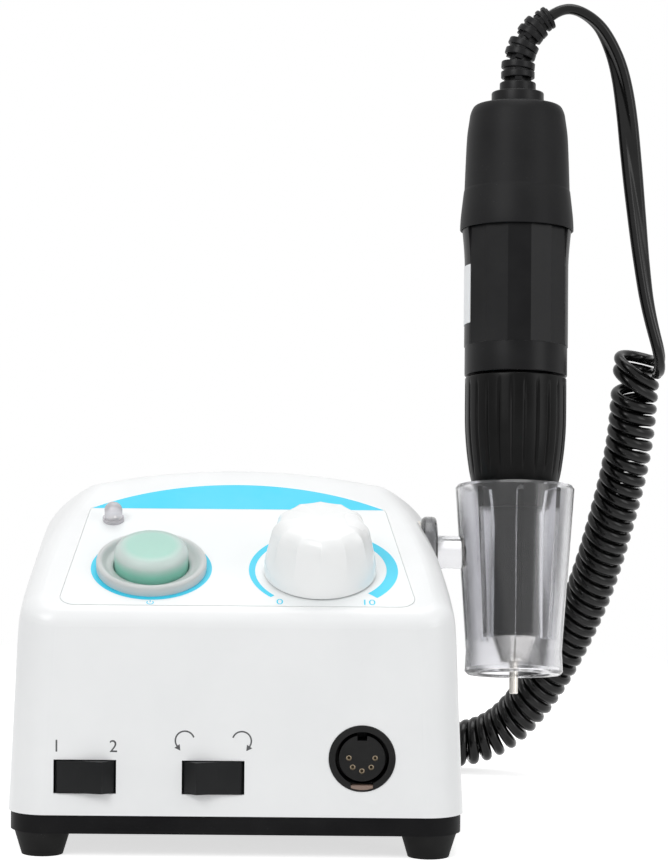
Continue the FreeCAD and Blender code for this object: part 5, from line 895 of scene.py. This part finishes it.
# Handpiece
SLEEVE_GROOVES = 24
SLEEVE_GROOVE_DEPTH = 0.34 * MM
GROOVE_START = (20.5 * MM, 24.5 * MM)
GROOVE_END = (45.6 * MM, 46.8 * MM)
GROOVE_SHARE = 0.09
HOUSING_BAND_TOP = 57.3 * MM
HOUSING_WALL_START = 13.0 * MM
FACET_TOP = 92.6 * MM
FACETS = 14
FACET_ACROSS = 28.0 * MM
WINDOW_HALF = 66.0
RAIL_RADIUS = 14.37 * MM
RAIL_FLARE = 0.75 * MM
RAIL_FLARE_LOW = 80.0 * MM
NOSE_BORE = 6.95
SLEEVE_BORE = 10.55
MAGNET_BORE = 11.0
CAP_LOW = 90.0 * MM


def sleeve_shape(radius, angle, height):
    along = rise(height, *GROOVE_START) * (1 - rise(height, *GROOVE_END))
    line = (angle * SLEEVE_GROOVES / (2 * math.pi)) % 1.0 - 0.5
    groove = math.exp(-(line / GROOVE_SHARE) ** 2)
    return radius - along * SLEEVE_GROOVE_DEPTH * groove


def make_sleeve():
    outer = in_metres([
        (NOSE_BORE, 12.2, 0), (9.8, 12.2, 0.3), (10.8, 16.3, 1), (12.2, 20.3, 2), (12.75, 23.0, 1),
        (13.5, 28.2, 2.5), (14.0, 34.5, 3), (14.04, 40.0, 0), (14.04, 45.5, 0), (14.04, 46.9, 0),
        (14.04, 48.7, 0.6), (SLEEVE_BORE, 48.7, 0)])
    inner = in_metres([
        (SLEEVE_BORE, 48.7, 0), (SLEEVE_BORE, 22.3, 0), (NOSE_BORE, 22.3, 0), (NOSE_BORE, 12.2, 0)])
    shape = joined([walls_only(turned(outer, 384, sleeve_shape)), walls_only(turned(inner, 96))])
    piece = new_piece("chuck_sleeve_grooved", *moved(shape, HOLDER), SLEEVE_BLACK, 40.0)
    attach(piece, "chuck")
    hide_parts("chuck_sleeve")


# Flat facets at the front and back stand between two plain side rails that flare to the cap
def housing_shape(radius, angle, height):
    if radius < HOUSING_WALL_START or height < HOUSING_BAND_TOP + 0.1 * MM:
        return radius
    degrees = math.degrees(angle) % 360
    off = min(abs((degrees - centre + 180) % 360 - 180) for centre in (270.0, 90.0))
    rail = RAIL_RADIUS + RAIL_FLARE * rise(height, RAIL_FLARE_LOW, CAP_LOW) ** 1.5
    if off > WINDOW_HALF:
        return rail
    step = 2 * math.pi / FACETS
    offset = angle % step - step / 2
    return FACET_ACROSS / 2 / math.cos(offset)


def make_housing():
    band, band_top, facet_top = 14.2, HOUSING_BAND_TOP / MM, FACET_TOP / MM
    outer = [(NOSE_BORE, 24.4, 0), (10.5, 24.4, 0), (10.5, 49.2, 0), (band, 49.2, 0.45), (band, 55, 0),
             (band, band_top, 0), (band, band_top + 0.12, 0)]
    outer += [(band, height, 0) for height in (65, 72, 80, 82, 84, 86, 88, 90)]
    outer += [(band, facet_top, 0), (12.0, facet_top, 0), (12.0, 108.6, 0), (MAGNET_BORE, 108.6, 0)]
    inner = [(MAGNET_BORE, 108.6, 0), (MAGNET_BORE, 55.6, 0), (3.3, 55.6, 0), (3.3, 45.05, 0),
             (NOSE_BORE, 45.05, 0), (NOSE_BORE, 24.4, 0)]
    shape = joined([walls_only(turned(in_metres(outer), 720, housing_shape)),
                    walls_only(turned(in_metres(inner), 96))])
    piece = new_piece("motor_housing_faceted", *moved(shape, HOLDER), HOUSING_BLACK, 6.0)
    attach(piece, "handpiece")
    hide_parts("motor_housing")


def make_cap():
    low = CAP_LOW / MM
    outer = in_metres([
        (15.3, low, 0), (15.75, low, 0.35), (15.72, 91.6, 0.2), (15.6, 93.7, 1), (15.23, 97.1, 1.5),
        (14.78, 100.9, 0.25), (14.62, 101.4, 0.2), (14.42, 107.5, 3), (14.16, 114, 3), (13.95, 117.4, 2),
        (13.1, 123.2, 1.6), (12.0, 125.3, 1.0), (5.1, 125.3, 0)])
    inner = in_metres([
        (5.1, 125.3, 0), (5.1, 121.3, 0), (12.05, 119.0, 0), (12.05, 92.65, 0), (15.3, 92.65, 0),
        (15.3, low, 0)])
    shape = joined([walls_only(turned(outer, 160)), walls_only(turned(inner, 96))])
    piece = new_piece("handpiece_cap_soft", *moved(shape, HOLDER), CAP_RUBBER, 50.0)
    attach(piece, "handpiece")
    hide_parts("handpiece_cap")


# Strain relief: a collar, a neck and a bent core that carries short segments
RELIEF_BEND_START = 135.2 * MM
RELIEF_BEND_RADIUS = 18.3 * MM
RELIEF_BEND_TURN = 59.5
RELIEF_NECK_TOP = 131.7 * MM
RELIEF_CORE_RADIUS = 2.6 * MM
RELIEF_WEB_SHARE = 0.84
RELIEF_WEB_HALF = 1.0 * MM
RELIEF_STEPS = 32
# Each segment: its middle along the relief, its radius and its length, in millimetres
RELIEF_RINGS = [(3.7, 4.7, 4.7), (9.8, 4.35, 4.5), (16.1, 3.9, 4.4), (20.9, 3.4, 2.6)]


def relief_place(distance):
    straight = RELIEF_BEND_START - RELIEF_NECK_TOP
    angle = max(distance - straight, 0.0) / RELIEF_BEND_RADIUS
    x = RELIEF_BEND_RADIUS * (1 - math.cos(angle))
    z = RELIEF_BEND_START + RELIEF_BEND_RADIUS * math.sin(angle) + min(distance - straight, 0.0)
    return Matrix.Translation((x, 0, z)) @ Matrix.Rotation(angle, 4, "Y")


def disc(radius, low, high, edge):
    return turned([(0, low, 0), (radius, low, edge), (radius, high, edge), (0, high, 0)], 48)


def slab(half_x, half_y, low, high, edge, angle):
    outline = []
    for sx, sy in ((1, 1), (-1, 1), (-1, -1), (1, -1)):
        for a, b in ((0, edge), (edge, 0)) if sx == sy else ((edge, 0), (0, edge)):
            outline.append((sx * (half_x - a), sy * (half_y - b)))
    verts = []
    for z in (low, high):
        verts += [Vector((x, y, z)) for x, y in outline]
    count = len(outline)
    faces = [tuple(range(count)), tuple(range(count, 2 * count))]
    faces += [(i, (i + 1) % count, count + (i + 1) % count, count + i) for i in range(count)]
    return moved((verts, faces), Matrix.Rotation(angle, 4, "Z"))


def relief_segment(middle, radius, length):
    shapes = []
    for part in (-1, 1):
        at = relief_place(middle + part * (length / 4 + 0.12 * MM))
        shapes.append(moved(disc(radius, -length * 0.21, length * 0.21, 0.35 * MM), at))
    at = relief_place(middle)
    shapes.append(moved(disc(radius * RELIEF_WEB_SHARE, -0.6 * MM, 0.6 * MM, 0.05 * MM), at))
    for quarter, share in ((0, 0.93), (1, 0.80)):
        web = slab(RELIEF_WEB_HALF, radius * share, -length / 2 - 1.0 * MM, length / 2, 0.25 * MM,
                   math.radians(90 * quarter))
        shapes.append(moved(web, at))
    return shapes


def make_relief():
    collar = disc(7.3 * MM, 125.2 * MM, 129.1 * MM, 0.6 * MM)
    neck = disc(5.05 * MM, 128.9 * MM, 131.9 * MM, 0.5 * MM)
    total = RELIEF_BEND_START - RELIEF_NECK_TOP + RELIEF_BEND_RADIUS * math.radians(RELIEF_BEND_TURN)
    frames = []
    for step in range(RELIEF_STEPS + 1):
        matrix = relief_place(total * step / RELIEF_STEPS)
        frames.append((matrix.translation.copy(), matrix.col[2].xyz.copy(), Vector((0, 1, 0))))
    shapes = [collar, neck, swept(frames, circle_outline(RELIEF_CORE_RADIUS, 24))]
    for ring in RELIEF_RINGS:
        shapes += relief_segment(*[size * MM for size in ring])
    piece = new_piece("strain_relief_segments", *moved(joined(shapes), HOLDER), RELIEF_RUBBER, 40.0)
    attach(piece, "handpiece")
    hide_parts("strain_relief")


def make_handpiece():
    make_sleeve()
    make_housing()
    make_cap()
    make_relief()


# Camera, lamps and floor
CAMERA_PLACE = (0, -1.315, 0.2402)
CAMERA_DOWN = 5.8
CAMERA_ROLL = 0.48
CAMERA_LENS = 199.9
CAMERA_SHIFT_X = 0.110
LAMP_AIM = (0.02, 0, 0.1)
# Each lamp: its name, its place, its width and height, and its power
LAMPS = [("key", (-0.9, -1.3, 1.3), (0.9, 0.9), 15.0),
         ("fill", (1.3, -0.9, 0.7), (0.7, 1.1), 6.0),
         ("top", (0.1, 0.2, 1.6), (1.0, 1.0), 10.0)]
ROOM_LIGHT = 0.42
FLOOR_GREY = (0.82, 0.82, 0.82, 1)
FLOOR_HALF = 12.0
FLOOR_GLOW = 0.68
FLOOR_NEAR = 0.14
FLOOR_FAR = 0.34


def make_camera():
    camera = bpy.data.cameras.new("camera")
    camera.sensor_width = 36.0
    camera.lens = CAMERA_LENS
    camera.shift_x = CAMERA_SHIFT_X
    camera.clip_start = 0.05
    holder = bpy.data.objects.new("camera", camera)
    holder.matrix_world = (Matrix.Translation(CAMERA_PLACE)
                           @ Matrix.Rotation(math.radians(90 - CAMERA_DOWN), 4, "X")
                           @ Matrix.Rotation(math.radians(CAMERA_ROLL), 4, "Z"))
    bpy.context.scene.collection.objects.link(holder)
    bpy.context.scene.camera = holder


def make_lamps():
    for name, place, size, power in LAMPS:
        lamp = bpy.data.lights.new(name, "AREA")
        lamp.shape = "RECTANGLE"
        lamp.size, lamp.size_y = size
        lamp.energy = power
        holder = bpy.data.objects.new(name, lamp)
        holder.location = place
        holder.rotation_euler = (Vector(LAMP_AIM) - Vector(place)).to_track_quat("-Z", "Y").to_euler()
        bpy.context.scene.collection.objects.link(holder)


def rays_that_see_white(tree):
    path = node(tree, "ShaderNodeLightPath")
    glossy = node(tree, "ShaderNodeMath", operation="MAXIMUM")
    seen = node(tree, "ShaderNodeMath", operation="MAXIMUM")
    tree.links.new(path.outputs["Is Camera Ray"], glossy.inputs[0])
    tree.links.new(path.outputs["Is Glossy Ray"], glossy.inputs[1])
    tree.links.new(glossy.outputs[0], seen.inputs[0])
    tree.links.new(path.outputs["Is Transmission Ray"], seen.inputs[1])
    return seen.outputs[0]


def make_world():
    world = bpy.data.worlds.new("studio")
    bpy.context.scene.world = world
    world.use_nodes = True
    tree = world.node_tree
    room = tree.nodes["Background"]
    room.inputs["Color"].default_value = (1, 1, 1, 1)
    room.inputs["Strength"].default_value = ROOM_LIGHT
    backdrop = node(tree, "ShaderNodeBackground")
    backdrop.inputs["Color"].default_value = (1, 1, 1, 1)
    backdrop.inputs["Strength"].default_value = 1.0
    mix = node(tree, "ShaderNodeMixShader")
    tree.links.new(rays_that_see_white(tree), mix.inputs[0])
    tree.links.new(room.outputs[0], mix.inputs[1])
    tree.links.new(backdrop.outputs[0], mix.inputs[2])
    tree.links.new(mix.outputs[0], tree.nodes["World Output"].inputs["Surface"])


# Near the object the floor is lit and takes its shadow; further off it is as white as the backdrop
def make_floor():
    material, tree, shader = start_material("pale_floor")
    link = tree.links.new
    shader.inputs["Base Color"].default_value = FLOOR_GREY
    shader.inputs["Roughness"].default_value = 0.9
    shader.inputs["Specular IOR Level"].default_value = 0.0
    glow = node(tree, "ShaderNodeEmission", Strength=FLOOR_GLOW)
    none = node(tree, "ShaderNodeEmission", Strength=0.0)
    white = node(tree, "ShaderNodeEmission", Strength=1.0)
    seen = rays_that_see_white(tree)
    lift = node(tree, "ShaderNodeMixShader")
    link(seen, lift.inputs[0])
    link(none.outputs[0], lift.inputs[1])
    link(glow.outputs[0], lift.inputs[2])
    near = node(tree, "ShaderNodeAddShader")
    link(lift.outputs[0], near.inputs[0])
    link(shader.outputs[0], near.inputs[1])
    place = node(tree, "ShaderNodeTexCoord")
    reach = node(tree, "ShaderNodeVectorMath", operation="LENGTH")
    link(place.outputs["Object"], reach.inputs[0])
    away = node(tree, "ShaderNodeMapRange")
    away.interpolation_type = "SMOOTHSTEP"
    away.inputs["From Min"].default_value = FLOOR_NEAR
    away.inputs["From Max"].default_value = FLOOR_FAR
    link(reach.outputs["Value"], away.inputs["Value"])
    both = node(tree, "ShaderNodeMath", operation="MULTIPLY")
    link(away.outputs["Result"], both.inputs[0])
    link(seen, both.inputs[1])
    mix = node(tree, "ShaderNodeMixShader")
    link(both.outputs[0], mix.inputs[0])
    link(near.outputs[0], mix.inputs[1])
    link(white.outputs[0], mix.inputs[2])
    link(mix.outputs[0], tree.nodes["Material Output"].inputs["Surface"])
    corners = [(x * FLOOR_HALF, y * FLOOR_HALF, 0) for x, y in ((-1, -1), (1, -1), (1, 1), (-1, 1))]
    floor = new_piece("floor", corners, [(0, 1, 2, 3)], material)


make_camera()
make_lamps()
make_world()
make_floor()
finish_nodes()
make_cords()
make_prints()
make_knob()
make_power_button()
make_lamp()
make_handpiece()

bpy.context.scene.view_settings.view_transform = "Standard"
